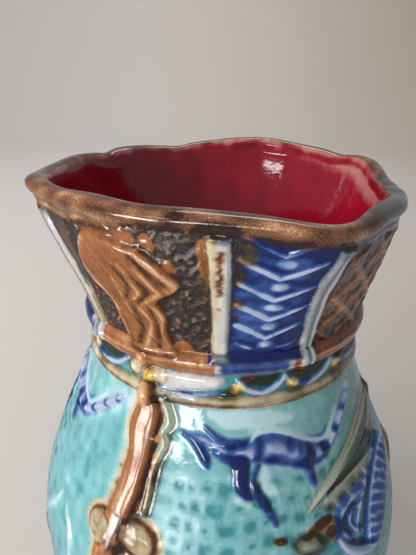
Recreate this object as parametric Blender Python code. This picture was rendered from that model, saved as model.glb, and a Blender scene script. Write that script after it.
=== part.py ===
"""A majolica pitcher: a pear-shaped body under a flared, four-cornered collar, with a branch handle.

The whole pitcher is one glazed earthenware casting, so it is one object. Body, collar and inside are one
turned shell, and the collar is pulled out at its corners. The carving is drawn on a flat sheet and wrapped
round the shell as raised strips and domes. The handle is a swept branch. A Boolean union joins them to the
shell.

The frame: +Z up, the origin at the middle of the foot, the spout towards +X and the handle towards -X.
Azimuths are in degrees from +X, anticlockwise from above. Lengths are in metres.
"""

import math

import bmesh
import bpy
from mathutils import Vector

# The turned shell.
FOOT_RADIUS = 0.0505
FOOT_HEIGHT = 0.0090
FOOT_BULGE = 0.0020
BELLY_RADIUS = 0.0662
BELLY_HEIGHT = 0.0740
NECK_RADIUS = 0.0430
NECK_HEIGHT = 0.1550
FULLNESS = 1.2
WALL = 0.0052
FLOOR = 0.0070

# The two turned beads of the neck: a thin cord under the band of flowers, and a stout ring over it.
CORD_DROP = 0.0078
CORD_HALF_HEIGHT = 0.0015
CORD_BULGE = 0.0012
RING_RISE = 0.0038
RING_HALF_HEIGHT = 0.0032
RING_BULGE = 0.0023

# The collar. Its corners are (azimuth, reach, spread in degrees), and its rim rises or dips by
# (azimuth, rise, spread in degrees).
COLLAR_HEIGHT = 0.0472
COLLAR_CURVE = 0.7
RIM_RADIUS = 0.0536
CORNERS = (
    (-1.0, 0.0080, 15.0),
    (-88.0, 0.0042, 17.0),
    (58.0, -0.0026, 26.0),
    (92.0, 0.0030, 13.0),
    (180.0, 0.0020, 20.0),
)
RIM_WAVES = (
    (0.0, -0.0016, 13.0),
    (48.0, -0.0030, 30.0),
    (-88.0, 0.0010, 9.0),
    (92.0, 0.0006, 9.0),
    (140.0, 0.0026, 22.0),
    (180.0, -0.0012, 10.0),
    (-140.0, 0.0012, 22.0),
)
ROLL_HEIGHT = 0.0050
ROLL_BULGE = 0.0014

# The handle: a branch bent into a loop, with knots where twigs were cut.
HANDLE_TOP = 0.1870
HANDLE_FOOT = 0.0820
HANDLE_REACH = 0.0985
HANDLE_HALF_WIDTH = 0.0075
HANDLE_HALF_THICKNESS = 0.0052
HANDLE_FLARE = 0.35
HANDLE_KNOTS = (0.22, 0.50, 0.78)
HANDLE_KNOT_SWELL = 0.22
HANDLE_STATIONS = 16
HANDLE_SIDES = 8

# How far each kind of carving stands proud of the wall, and how deep its solid is sunk.
SINK = 0.0009
BAND_LIFT = 0.0013
LINE_LIFT = 0.0008
BUTTON_LIFT = 0.0010
RIDGE_WIDTH = 3.5
LEAF_LIFT = 0.0022
BRANCH_LIFT = 0.0034
TWIG_LIFT = 0.0014
BEAST_LIFT = 0.0021
TAIL_LIFT = 0.0036
BLOSSOM_LIFT = 0.0022

# The drawing sheet. Its levels are heights up the pitcher, each tied to the turned form that it lies on.
SHEET = (
    (0.0, 0.0),
    (9.0, FOOT_HEIGHT),
    (74.0, BELLY_HEIGHT),
    (145.5, NECK_HEIGHT - CORD_DROP - CORD_HALF_HEIGHT),
    (148.5, NECK_HEIGHT - CORD_DROP + CORD_HALF_HEIGHT),
    (155.5, NECK_HEIGHT + RING_RISE - RING_HALF_HEIGHT),
    (162.0, NECK_HEIGHT + RING_RISE + RING_HALF_HEIGHT),
    (202.2, NECK_HEIGHT + COLLAR_HEIGHT),
)
PANEL_FOOT = 162.6
PANEL_HEAD = 196.6
BLUE_PANEL_HALF = 11.7
CHEVRON_RISE = 5.6
CHEVRON_PITCH = 6.1
CHEVRONS = 5
LATTICE_RISE = 30.0
LATTICE_PITCH = 11.0

# Where the branches stand, and the bays between them: the spout's, the two sides' and the handle's.
BRANCHES = (-54.0, 72.0, 144.0, -144.0)
BAYS = ((-54.0, 72.0), (72.0, 144.0), (-144.0, -54.0), (144.0, 216.0))

# The raised part of a strip's section, each (share of the half width, share of the lift).
ROUND_SECTION = ((-0.7, 0.72), (0.0, 1.0), (0.7, 0.72))
FLAT_SECTION = ((-0.66, 1.0), (0.66, 1.0))
RIDGE_SECTION = ((0.0, 1.0),)
PLATE_SECTION = ((-0.86, 0.62), (0.0, 1.0), (0.86, 0.62))

# Mesh density. Points closer than WELD become one, and so do faces within FLAT_ANGLE of each other.
COLUMNS = 45
BODY_ROWS = 8
COLLAR_ROWS = 3
INSIDE_ROWS = 5
WELD = 0.00001
FLAT_ANGLE = 1.5

GLAZE = (0.16, 0.50, 0.49, 1.0)


def smooth(share):
    """Ease a share from 0 to 1 with level ends."""
    share = min(max(share, 0.0), 1.0)
    return share * share * (3.0 - 2.0 * share)


def turn_between(azimuth, other):
    """The signed turn from one azimuth to another, within half a turn."""
    return (azimuth - other + 180.0) % 360.0 - 180.0


def bell(azimuth, centre, spread):
    """A bump of height 1 round a centre azimuth."""
    return math.exp(-(turn_between(azimuth, centre) / spread) ** 2)


def turned_radius(height):
    """The radius of the plain turned outside, without its beads."""
    if height <= BELLY_HEIGHT:
        share = max(height - FOOT_HEIGHT, 0.0) / (BELLY_HEIGHT - FOOT_HEIGHT)
        swell = math.sin(0.5 * math.pi * share ** (1.0 / FULLNESS))
        return FOOT_RADIUS + (BELLY_RADIUS - FOOT_RADIUS) * swell
    if height <= NECK_HEIGHT:
        share = ((height - BELLY_HEIGHT) / (NECK_HEIGHT - BELLY_HEIGHT)) ** FULLNESS
        return NECK_RADIUS + (BELLY_RADIUS - NECK_RADIUS) * 0.5 * (1.0 + math.cos(math.pi * share))
    share = (height - NECK_HEIGHT) / COLLAR_HEIGHT
    flare = COLLAR_CURVE * smooth(share) + (1.0 - COLLAR_CURVE) * share
    return NECK_RADIUS + (RIM_RADIUS - NECK_RADIUS) * flare


def outer_radius(azimuth, height):
    """The radius of the outside, with the collar pulled out at its corners."""
    radius = turned_radius(height)
    rise = (height - NECK_HEIGHT) / COLLAR_HEIGHT
    if rise > 0.0:
        pull = sum(reach * bell(azimuth, centre, spread) for centre, reach, spread in CORNERS)
        radius += pull * rise ** 1.5
    return radius


def rim_height(azimuth):
    """The height of the waved rim."""
    waves = sum(rise * bell(azimuth, centre, spread) for centre, rise, spread in RIM_WAVES)
    return NECK_HEIGHT + COLLAR_HEIGHT + waves


def polar(azimuth, radius, height):
    """A point from its azimuth, radius and height."""
    angle = math.radians(azimuth)
    return Vector((radius * math.cos(angle), radius * math.sin(angle), height))


def on_wall(azimuth, height, lift):
    """A point that stands off the outside by a lift, along the wall's normal."""
    step = 0.0005
    here = outer_radius(azimuth, height)
    around = outer_radius(azimuth + 0.5, height) - outer_radius(azimuth - 0.5, height)
    lean = (outer_radius(azimuth, height + step) - outer_radius(azimuth, height - step)) / (2.0 * step)
    out = polar(azimuth, 1.0, 0.0)
    side = Vector((-out.y, out.x, 0.0))
    normal = (out - side * around / (math.radians(1.0) * here) - Vector((0.0, 0.0, lean))).normalized()
    return polar(azimuth, here, height) + normal * lift


def wall_slope(height):
    """The share of a step along the wall that goes into height."""
    step = 0.0005
    lean = (turned_radius(height + step) - turned_radius(height - step)) / (2.0 * step)
    return 1.0 / math.hypot(1.0, lean)


def sheet_height(level):
    """The real height of a level on the drawing sheet."""
    for (low, low_height), (high, high_height) in zip(SHEET, SHEET[1:]):
        if level <= high:
            return low_height + (high_height - low_height) * (level - low) / (high - low)
    return SHEET[-1][1]


def stepped(azimuth, height, across, along, lift):
    """A point on the wall, reached by going across and along it from a place."""
    turn = math.degrees(across / outer_radius(azimuth, height))
    return on_wall(azimuth + turn, height + along * wall_slope(height), lift)


def shell_rows():
    """The shell's rings from the underside's edge over the rim to the inside floor.

    Each row is a function of azimuth that gives a radius and a height.
    """
    def turned(height, bulge):
        return lambda azimuth: (outer_radius(azimuth, height) + bulge, height)

    def collar(share):
        foot = NECK_HEIGHT + RING_RISE + RING_HALF_HEIGHT

        def row(azimuth):
            height = foot + (rim_height(azimuth) - ROLL_HEIGHT - foot) * share
            return outer_radius(azimuth, height), height
        return row

    def rim(drop, inset):
        def row(azimuth):
            height = rim_height(azimuth) - drop
            return outer_radius(azimuth, height) - inset, height
        return row

    def inside(share):
        def row(azimuth):
            top = rim_height(azimuth) - 0.4 * ROLL_HEIGHT
            height = top + (FLOOR + WALL - top) * share
            return outer_radius(azimuth, height) - WALL, height
        return row

    rows = []
    for share, bulge in ((0.0, 0.0), (0.2, 0.8), (0.7, 0.9)):
        rows.append(turned(FOOT_HEIGHT * share, FOOT_BULGE * bulge))
    cord = NECK_HEIGHT - CORD_DROP
    cord_foot = cord - CORD_HALF_HEIGHT
    for index in range(BODY_ROWS + 1):
        rows.append(turned(FOOT_HEIGHT + (cord_foot - FOOT_HEIGHT) * index / BODY_ROWS, 0.0))
    rows.append(turned(cord, CORD_BULGE))
    rows.append(turned(cord + CORD_HALF_HEIGHT, 0.0))
    ring = NECK_HEIGHT + RING_RISE
    for share, bulge in ((-1.0, 0.0), (-0.5, 0.9), (0.5, 0.9)):
        rows.append(turned(ring + RING_HALF_HEIGHT * share, RING_BULGE * bulge))
    for index in range(COLLAR_ROWS + 1):
        rows.append(collar(index / COLLAR_ROWS))
    rows.append(rim(0.6 * ROLL_HEIGHT, -ROLL_BULGE))
    rows.append(rim(0.08 * ROLL_HEIGHT, 0.2 * WALL))
    rows.append(rim(0.0, 0.5 * WALL))
    rows.append(rim(0.08 * ROLL_HEIGHT, 0.8 * WALL))
    for index in range(INSIDE_ROWS + 1):
        rows.append(inside(index / INSIDE_ROWS))
    return rows


def lofted(name, rings):
    """A closed solid through rings of points, with a flat cap at each end."""
    mesh = bmesh.new()
    loops = [[mesh.verts.new(point) for point in ring] for ring in rings]
    count = len(loops[0])
    for lower, upper in zip(loops, loops[1:]):
        for index in range(count):
            after = (index + 1) % count
            mesh.faces.new((lower[index], lower[after], upper[after], upper[index]))
    mesh.faces.new(loops[0])
    mesh.faces.new(loops[-1])
    bmesh.ops.recalc_face_normals(mesh, faces=mesh.faces[:])
    data = bpy.data.meshes.new(name)
    mesh.to_mesh(data)
    mesh.free()
    solid = bpy.data.objects.new(name, data)
    bpy.context.scene.collection.objects.link(solid)
    return solid


def make_shell():
    """The hollow shell, with a flat underside and a flat inside floor."""
    azimuths = [360.0 * index / COLUMNS for index in range(COLUMNS)]
    rings = [[polar(azimuth, *row(azimuth)) for azimuth in azimuths] for row in shell_rows()]
    floor_radius = outer_radius(0.0, FLOOR + WALL) - 2.0 * WALL
    rings.append([polar(azimuth, floor_radius, FLOOR) for azimuth in azimuths])
    return lofted("pitcher", rings)


def make_handle():
    """The looped branch. Its two ends are buried in the wall."""
    centre_reach = outer_radius(180.0, HANDLE_FOOT) - 0.5 * WALL
    half_reach = HANDLE_REACH - centre_reach
    centre_height = 0.5 * (HANDLE_TOP + HANDLE_FOOT)
    half_height = 0.5 * (HANDLE_TOP - HANDLE_FOOT)
    top_reach = outer_radius(180.0, HANDLE_TOP) - 0.6 * WALL
    start = math.acos((top_reach - centre_reach) / half_reach)
    rings = []
    for station in range(HANDLE_STATIONS + 1):
        share = station / HANDLE_STATIONS
        angle = start + (-0.5 * math.pi - start) * share
        middle = Vector((-centre_reach - half_reach * math.cos(angle), 0.0,
                         centre_height + half_height * math.sin(angle)))
        out = Vector((-half_height * math.cos(angle), 0.0, half_reach * math.sin(angle))).normalized()
        swell = 1.0 + HANDLE_FLARE * (abs(2.0 * share - 1.0)) ** 4
        swell += sum(HANDLE_KNOT_SWELL * math.exp(-((share - knot) / 0.03) ** 2) for knot in HANDLE_KNOTS)
        ring = []
        for side in range(HANDLE_SIDES):
            turn = 2.0 * math.pi * side / HANDLE_SIDES
            ring.append(middle + Vector((0.0, swell * HANDLE_HALF_WIDTH * math.cos(turn), 0.0))
                        + out * (swell * HANDLE_HALF_THICKNESS * math.sin(turn)))
        rings.append(ring)
    for ring in (rings[0], rings[-1]):
        for index, point in enumerate(ring):
            azimuth = math.degrees(math.atan2(point.y, point.x))
            ring[index] = polar(azimuth, outer_radius(azimuth, point.z) - 0.5 * WALL, point.z)
    return lofted("handle", rings)


def curve_through(places, steps):
    """Places along a smooth curve that runs through the given ones, numbers of any count in each."""
    ends = [places[0]] + list(places) + [places[-1]]
    line = []
    for index in range(len(places) - 1):
        before, here, after, beyond = ends[index:index + 4]
        for step in range(steps):
            t = step / steps
            line.append([
                0.5 * (2.0 * q + (r - p) * t + (2.0 * p - 5.0 * q + 4.0 * r - s) * t * t
                       + (3.0 * q - p - 3.0 * r + s) * t ** 3)
                for p, q, r, s in zip(before, here, after, beyond)
            ])
    line.append(list(places[-1]))
    return line


def strip(places, lift, section=ROUND_SECTION, steps=1):
    """A raised strip along places on the sheet, each (azimuth, level, width in mm)."""
    line = [(azimuth, sheet_height(level), max(width, 0.5) / 1000.0)
            for azimuth, level, width in curve_through(places, steps)]
    rings = []
    for index, (azimuth, height, width) in enumerate(line):
        before = line[max(index - 1, 0)]
        after = line[min(index + 1, len(line) - 1)]
        run = math.radians(after[0] - before[0]) * outer_radius(azimuth, height)
        climb = (after[1] - before[1]) / wall_slope(height)
        length = math.hypot(run, climb)
        right, up = climb / length, -run / length
        edge, rise = section[-1]
        root = edge + (1.0 - edge) * (lift * rise + SINK) / (lift * rise)
        ring = []
        for offset, stand in [(-root, -SINK)] + [(share, lift * up_share) for share, up_share in section] + [
                (root, -SINK)]:
            reach = 0.5 * width * offset
            ring.append(stepped(azimuth, height, reach * right, reach * up, stand))
        rings.append(ring)
    return lofted("strip", rings)


def boss(azimuth, level, half_width, half_height, lift, turn=0.0, sides=6):
    """A raised dome round a place on the sheet. Its half sizes are in mm, turned by an angle in degrees."""
    height = sheet_height(level)
    cosine, sine = math.cos(math.radians(turn)), math.sin(math.radians(turn))
    rings = []
    for share, stand in ((1.0 + 0.4 * SINK / lift, -SINK), (0.6, lift)):
        ring = []
        for side in range(sides):
            angle = 2.0 * math.pi * side / sides
            wide = half_width / 1000.0 * share * math.cos(angle)
            tall = half_height / 1000.0 * share * math.sin(angle)
            across = wide * cosine - tall * sine
            along = wide * sine + tall * cosine
            ring.append(stepped(azimuth, height, across, along, stand))
        rings.append(ring)
    return lofted("boss", rings)


def upright_band(azimuth, width, lean=0.0):
    """An upright band of the collar, from its foot to its rim. A narrow one is a ridge."""
    places = ((azimuth, PANEL_FOOT, width), (azimuth + 0.35 * lean, 0.5 * (PANEL_FOOT + PANEL_HEAD), width),
              (azimuth + lean, PANEL_HEAD, width))
    return strip(places, BAND_LIFT, FLAT_SECTION if width > RIDGE_WIDTH else RIDGE_SECTION)


def chevron_panel(azimuth, buttons=True):
    """The blue panel's carving: a column of chevrons, with or without a button under each point."""
    solids = []
    for index in range(CHEVRONS):
        point = PANEL_FOOT + 5.4 + CHEVRON_PITCH * index
        reach = BLUE_PANEL_HALF - 1.6
        solids.append(strip(((azimuth - reach, point + CHEVRON_RISE, 1.2), (azimuth, point, 1.9),
                             (azimuth + reach, point + CHEVRON_RISE, 1.2)), LINE_LIFT, RIDGE_SECTION))
        if buttons:
            solids.append(boss(azimuth, point - 2.9, 2.0, 1.4, BUTTON_LIFT, sides=5))
    return solids


def leaf_panel(azimuth, ribs=3):
    """A brown panel's carving: a spread leaf on a broad stem, with bent ribs at its right."""
    solids = [
        strip(((azimuth - 1.0, PANEL_FOOT, 13.0), (azimuth - 1.0, 177.0, 12.0), (azimuth - 6.0, 188.0, 11.0),
               (azimuth - 14.0, 193.5, 3.0)), LEAF_LIFT, PLATE_SECTION),
        boss(azimuth - 12.0, 184.5, 6.5, 5.2, LEAF_LIFT, turn=8.0),
    ]
    for index in range(ribs):
        point = azimuth + 13.0 - 5.0 * index
        solids.append(strip(((point - 8.5, 192.0, 1.2), (point, 184.2 - 0.6 * index, 2.6),
                             (point - 5.0, 178.5, 1.4)), LEAF_LIFT, RIDGE_SECTION))
    return solids


def lattice_panel(left, right):
    """A brown panel's carving: a lattice of slanting cords."""
    solids = []
    for index in range(-2, 3):
        foot = PANEL_FOOT + 1.0 + LATTICE_PITCH * index
        for start, end, lift in ((left, right, LINE_LIFT), (right, left, 1.5 * LINE_LIFT)):
            run = ((start, foot, 1.8), (end, foot + LATTICE_RISE, 1.8))
            cord = clip_level(run, PANEL_FOOT, PANEL_HEAD)
            if cord:
                solids.append(strip(cord, lift, RIDGE_SECTION, steps=3))
    return solids


def clip_level(places, low, high):
    """Cut a straight run of two places to the levels between low and high."""
    (start, foot, width), (end, head, _) = places
    lower = max(low, foot)
    upper = min(high, head)
    if upper - lower < 2.0:
        return None
    at = [start + (end - start) * (level - foot) / (head - foot) for level in (lower, upper)]
    return ((at[0], lower, width), (at[1], upper, width))


def branch(azimuth):
    """An upright branch from the neck to the foot, with its knots and a thin twig beside it."""
    solids = [strip((
        (azimuth, 145.0, 8.5), (azimuth + 0.5, 127.0, 6.6), (azimuth - 0.7, 108.0, 8.8),
        (azimuth - 3.0, 94.0, 7.2), (azimuth - 4.0, 76.0, 7.0), (azimuth - 2.0, 60.0, 8.5),
        (azimuth - 0.5, 36.0, 7.0), (azimuth, 11.0, 11.0)), BRANCH_LIFT)]
    for middle, level, half in ((azimuth - 0.7, 108.5, 11.0), (azimuth - 2.0, 60.0, 9.0)):
        solids.append(strip(((middle - half, level + 1.5, 3.4), (middle - 0.5 * half, level + 0.5, 7.6),
                             (middle + 0.5 * half, level + 0.5, 7.2), (middle + half, level + 1.5, 3.0)),
                            0.75 * BRANCH_LIFT))
    solids.append(strip(((azimuth + 8.0, 145.0, 2.4), (azimuth + 10.0, 138.0, 2.2),
                         (azimuth + 7.5, 128.0, 2.2), (azimuth + 8.5, 117.0, 2.6)), TWIG_LIFT, RIDGE_SECTION))
    return solids


def beast(azimuth, way=1.0):
    """A leaping beast with open jaws and a long raised tail. way is 1 if it faces left, -1 if right."""
    def at(places):
        return tuple((azimuth + way * offset, level, width) for offset, level, width in places)

    body = strip(at(((-25.0, 134.6, 3.6), (-17.0, 134.4, 6.4), (-7.0, 134.4, 7.2), (2.0, 131.8, 4.6),
                     (11.0, 130.4, 3.4), (20.0, 135.0, 2.8), (30.0, 140.0, 1.4))), BEAST_LIFT)
    parts = [
        ((-24.0, 135.0, 4.2), (-31.5, 136.4, 3.2), (-37.0, 139.0, 1.0)),
        ((-24.0, 136.6, 2.6), (-27.5, 138.6, 2.0), (-30.5, 141.4, 0.8)),
        ((-27.0, 134.4, 2.6), (-30.0, 131.6, 0.8)),
        ((-18.2, 132.0, 4.6), (-17.2, 125.0, 3.0), (-11.2, 117.6, 1.6)),
        ((-13.0, 132.0, 3.4), (-13.6, 125.0, 2.4), (-8.8, 116.0, 1.4)),
        ((3.2, 131.0, 3.6), (4.6, 123.4, 1.4)),
    ]
    return [body] + [strip(at(part), BEAST_LIFT, FLAT_SECTION) for part in parts]


def low_scene(azimuth, way=1.0):
    """The low carving under a beast: a slanting ridged leaf, a curled striped tail and a small shell."""
    def at(places):
        return tuple((azimuth + way * offset, level, width) for offset, level, width in places)

    solids = [
        strip(at(((2.0, 117.5, 2.0), (14.0, 121.0, 6.4), (27.0, 124.5, 6.8), (42.0, 129.0, 3.0))), LEAF_LIFT,
              PLATE_SECTION),
        boss(azimuth + way * 33.0, 106.0, 10.5, 9.4, TAIL_LIFT, turn=12.0 * way, sides=12),
        strip(at(((24.0, 113.0, 2.4), (16.0, 113.8, 2.2), (11.0, 109.5, 2.4), (12.5, 104.5, 2.6),
                  (20.0, 100.5, 3.0), (29.0, 95.8, 3.4), (38.0, 94.0, 2.6))), BEAST_LIFT),
        boss(azimuth + way * 1.5, 107.6, 6.6, 3.6, LEAF_LIFT),
    ]
    for index in range(4):
        shift = 4.6 * index
        solids.append(strip(at(((24.0 + shift, 113.5 - 0.3 * index, 1.2), (29.0 + shift, 106.0, 1.8),
                                (33.0 + shift, 98.0 + 0.6 * index, 1.2))), TAIL_LIFT + 0.0006))
    return solids


def foot_leaves(left, right, count):
    """A row of plain leaves that rise from the foot between two azimuths, each creased along its middle."""
    solids = []
    for index in range(count):
        azimuth = left + (right - left) * (index + 0.5) / count
        tall = 6.0 * (index % 2)
        solids.append(strip(((azimuth, 11.0, 6.0), (azimuth - 2.0, 32.0, 13.5),
                             (azimuth - 1.5, 54.0 + tall, 9.5), (azimuth + 6.0, 76.0 + tall, 1.5)),
                            LEAF_LIFT, PLATE_SECTION))
    return solids


def flower_band():
    """The band between the beads: a round blossom on each branch, and a swag with buds in each bay."""
    solids = []
    for azimuth in BRANCHES:
        for offset, level, wide, tall in ((-4.5, 152.0, 3.2, 2.5), (4.5, 152.0, 3.3, 2.5)):
            solids.append(boss(azimuth + offset, level, wide, tall, BLOSSOM_LIFT))
    for left, right in BAYS:
        middle = 0.5 * (left + right)
        for start, end in ((left + 11.0, middle - 9.0), (middle - 9.0, middle + 9.0),
                           (middle + 9.0, right - 11.0)):
            solids.append(strip(((start, 153.4, 2.4), (0.5 * (start + end), 150.8, 2.8), (end, 153.4, 2.4)),
                                BAND_LIFT, RIDGE_SECTION))
        for azimuth in (middle - 9.0, middle + 9.0):
            solids.append(boss(azimuth, 153.2, 2.0, 1.8, BLOSSOM_LIFT, sides=5))
    return solids


def collar_carving():
    """All the carving of the collar, panel by panel."""
    solids = chevron_panel(-11.0) + chevron_panel(-100.0, False) + chevron_panel(79.0, False)
    solids += leaf_panel(-49.5) + leaf_panel(-136.0, 2) + leaf_panel(122.0, 2)
    solids += lattice_panel(8.5, 58.0)
    for azimuth, width, lean in ((-26.4, 5.6, 0.0), (1.2, 2.0, 1.6), (5.6, 2.0, 2.6), (-72.5, 2.4, 0.0),
                                 (-85.5, 2.4, 0.0), (-114.5, 5.6, 0.0), (61.5, 5.6, 0.0),
                                 (92.5, 2.2, 0.0), (97.5, 2.2, 0.0), (150.0, 4.0, 0.0), (-158.0, 4.0, 0.0)):
        solids.append(upright_band(azimuth, width, lean))
    return solids


def body_carving():
    """All the carving of the body and neck."""
    solids = flower_band()
    for azimuth in BRANCHES:
        solids += branch(azimuth)
    solids += beast(0.0) + low_scene(0.0)
    solids += beast(-96.0)
    solids += beast(104.0, way=-1.0)
    for left, right in BAYS:
        solids += foot_leaves(left + 10.0, right - 10.0, round((right - left) / 30.0))
    return solids


def glaze():
    """The turquoise glaze that covers most of the pitcher."""
    material = bpy.data.materials.new("majolica_glaze")
    material.use_nodes = True
    shader = material.node_tree.nodes["Principled BSDF"]
    shader.inputs["Base Color"].default_value = GLAZE
    shader.inputs["Roughness"].default_value = 0.16
    shader.inputs["Metallic"].default_value = 0.0
    return material


def join_all(shell, solids):
    """Unite the carving and the handle with the shell, and give the shell the joined mesh."""
    carving = bpy.data.collections.new("carving")
    bpy.context.scene.collection.children.link(carving)
    for solid in solids:
        bpy.context.scene.collection.objects.unlink(solid)
        carving.objects.link(solid)
    union = shell.modifiers.new("carving", "BOOLEAN")
    union.operation = "UNION"
    union.solver = "EXACT"
    union.operand_type = "COLLECTION"
    union.collection = carving
    depsgraph = bpy.context.evaluated_depsgraph_get()
    joined = bpy.data.meshes.new_from_object(shell.evaluated_get(depsgraph))
    shell.modifiers.remove(union)
    shell.data = joined
    for solid in solids:
        bpy.data.objects.remove(solid)
    bpy.data.collections.remove(carving)


def tidy_mesh(shell):
    """Merge flat faces, cut them into triangles, weld close points and drop slivers that fold shut."""
    mesh = bmesh.new()
    mesh.from_mesh(shell.data)
    bmesh.ops.dissolve_limit(mesh, angle_limit=math.radians(FLAT_ANGLE), verts=mesh.verts[:],
                             edges=mesh.edges[:])
    bmesh.ops.triangulate(mesh, faces=mesh.faces[:])
    bmesh.ops.remove_doubles(mesh, verts=mesh.verts[:], dist=WELD)
    faces_on = {}
    for face in mesh.faces:
        faces_on.setdefault(frozenset(face.verts), []).append(face)
    folded = [face for pair in faces_on.values() if len(pair) == 2 for face in pair]
    bmesh.ops.delete(mesh, geom=folded, context="FACES")
    mesh.to_mesh(shell.data)
    mesh.free()
    shell.data.name = "pitcher"


def main():
    """Make the pitcher in an empty scene."""
    for thing in list(bpy.data.objects):
        bpy.data.objects.remove(thing)
    shell = make_shell()
    join_all(shell, [make_handle()] + collar_carving() + body_carving())
    tidy_mesh(shell)
    shell.data.materials.clear()
    shell.data.materials.append(glaze())
    shell.data.shade_smooth()
    shell.data.set_sharp_from_angle(angle=math.radians(40.0))


main()
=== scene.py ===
"""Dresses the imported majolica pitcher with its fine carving, its glazes, soft light and a camera.

Azimuths are in degrees from the spout, anticlockwise from above. Heights and the sizes of the carving are in
millimetres, and every mesh is made in metres.
"""

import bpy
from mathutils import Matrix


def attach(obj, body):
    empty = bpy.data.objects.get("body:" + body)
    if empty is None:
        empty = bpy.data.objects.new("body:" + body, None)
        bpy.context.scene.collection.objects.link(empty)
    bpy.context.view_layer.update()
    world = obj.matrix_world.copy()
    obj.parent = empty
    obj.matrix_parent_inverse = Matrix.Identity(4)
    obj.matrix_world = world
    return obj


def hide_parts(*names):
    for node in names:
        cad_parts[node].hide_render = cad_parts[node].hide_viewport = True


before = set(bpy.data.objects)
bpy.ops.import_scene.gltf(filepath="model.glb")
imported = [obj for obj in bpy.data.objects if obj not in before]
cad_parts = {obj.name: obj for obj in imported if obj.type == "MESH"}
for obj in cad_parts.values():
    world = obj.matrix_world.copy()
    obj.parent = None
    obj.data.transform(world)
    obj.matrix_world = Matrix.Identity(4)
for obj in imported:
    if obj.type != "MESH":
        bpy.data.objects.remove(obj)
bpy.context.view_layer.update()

import logging
import math
from dataclasses import dataclass
from enum import Enum

import bpy
import numpy as np
from mathutils import Matrix
from mathutils import Vector

log = logging.getLogger("pitcher")

MM = 0.001
NODE = "pitcher"
BODY = "root"

Array = np.ndarray
Places = tuple[tuple[float, ...], ...]
Colour = tuple[float, float, float]
Amount = float | Array
Socket = bpy.types.NodeSocket

# FAR is the distance from a glaze that is nowhere near. A mark reaches MARK_MARGIN past its edge.
FAR = 9.0
MARK_MARGIN = 2.6
RELIEF_LIMIT = 3.7
TURN = 2.0 * math.pi
BRANCH_AZIMUTHS = (-54.0, 72.0, 144.0, -144.0)
BAYS = ((-54.0, 72.0), (72.0, 144.0), (-144.0, -54.0), (144.0, 216.0))


def smooth(share: Array) -> Array:
    """Ease shares from 0 to 1 with level ends."""
    share = np.clip(share, 0.0, 1.0)
    return share * share * (3.0 - 2.0 * share)


def bell(distance: Array, width: float) -> Array:
    """One at no distance, falling away smoothly within a few widths."""
    return np.exp(-(distance / width) ** 2)


def turn_between(azimuth: Array, other: float) -> Array:
    """The signed turn from one azimuth to others, within half a turn."""
    return (azimuth - other + 180.0) % 360.0 - 180.0


def curve_through(places: Places, steps: int, closed: bool = False) -> Array:
    """A smooth curve through places, by the Catmull-Rom rule.

    Args:
        places: the places that the curve runs through, with any count of numbers in each.
        steps: how many pieces each stretch is cut into. One leaves the stretches straight.
        closed: whether the curve comes back to its start.

    Returns:
        The curve's points, one to a row.
    """
    given = np.array(places, float)
    ends = (given[-1:], given, given[:2]) if closed else (given[:1], given, given[-1:])
    ends = np.vstack(ends)
    t = (np.arange(steps) / steps)[:, None]
    line = []
    for before, here, after, beyond in zip(ends, ends[1:], ends[2:], ends[3:]):
        line.append(0.5 * (2.0 * here + (after - before) * t
                           + (2.0 * before - 5.0 * here + 4.0 * after - beyond) * t ** 2
                           + (3.0 * here - before - 3.0 * after + beyond) * t ** 3))
    return np.vstack(line if closed else line + [given[-1:]])


def ripple(azimuth: Array, level: Array, length: float, seed: int, waves: int = 7) -> Array:
    """Gentle waves without a pattern, the same on each run, that close round the vessel.

    Args:
        azimuth: where they are wanted, in degrees.
        level: where they are wanted, in mm.
        length: the mean length of a wave, in mm.
        seed: which set of waves.
        waves: how many are laid over each other.

    Returns:
        Values mostly between -1 and 1.
    """
    draw = np.random.default_rng(seed)
    total = np.zeros_like(azimuth)
    for heading, scale, phase in draw.uniform((0.0, 0.6, 0.0), (math.pi, 1.7, TURN), (waves, 3)):
        around = round(TURN * FORM.belly_radius * math.cos(heading) / (length * scale))
        climb = TURN * math.sin(heading) / (length * scale)
        total += np.cos(around * np.radians(azimuth) + climb * level + phase)
    return total * 1.2 / math.sqrt(waves)


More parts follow.
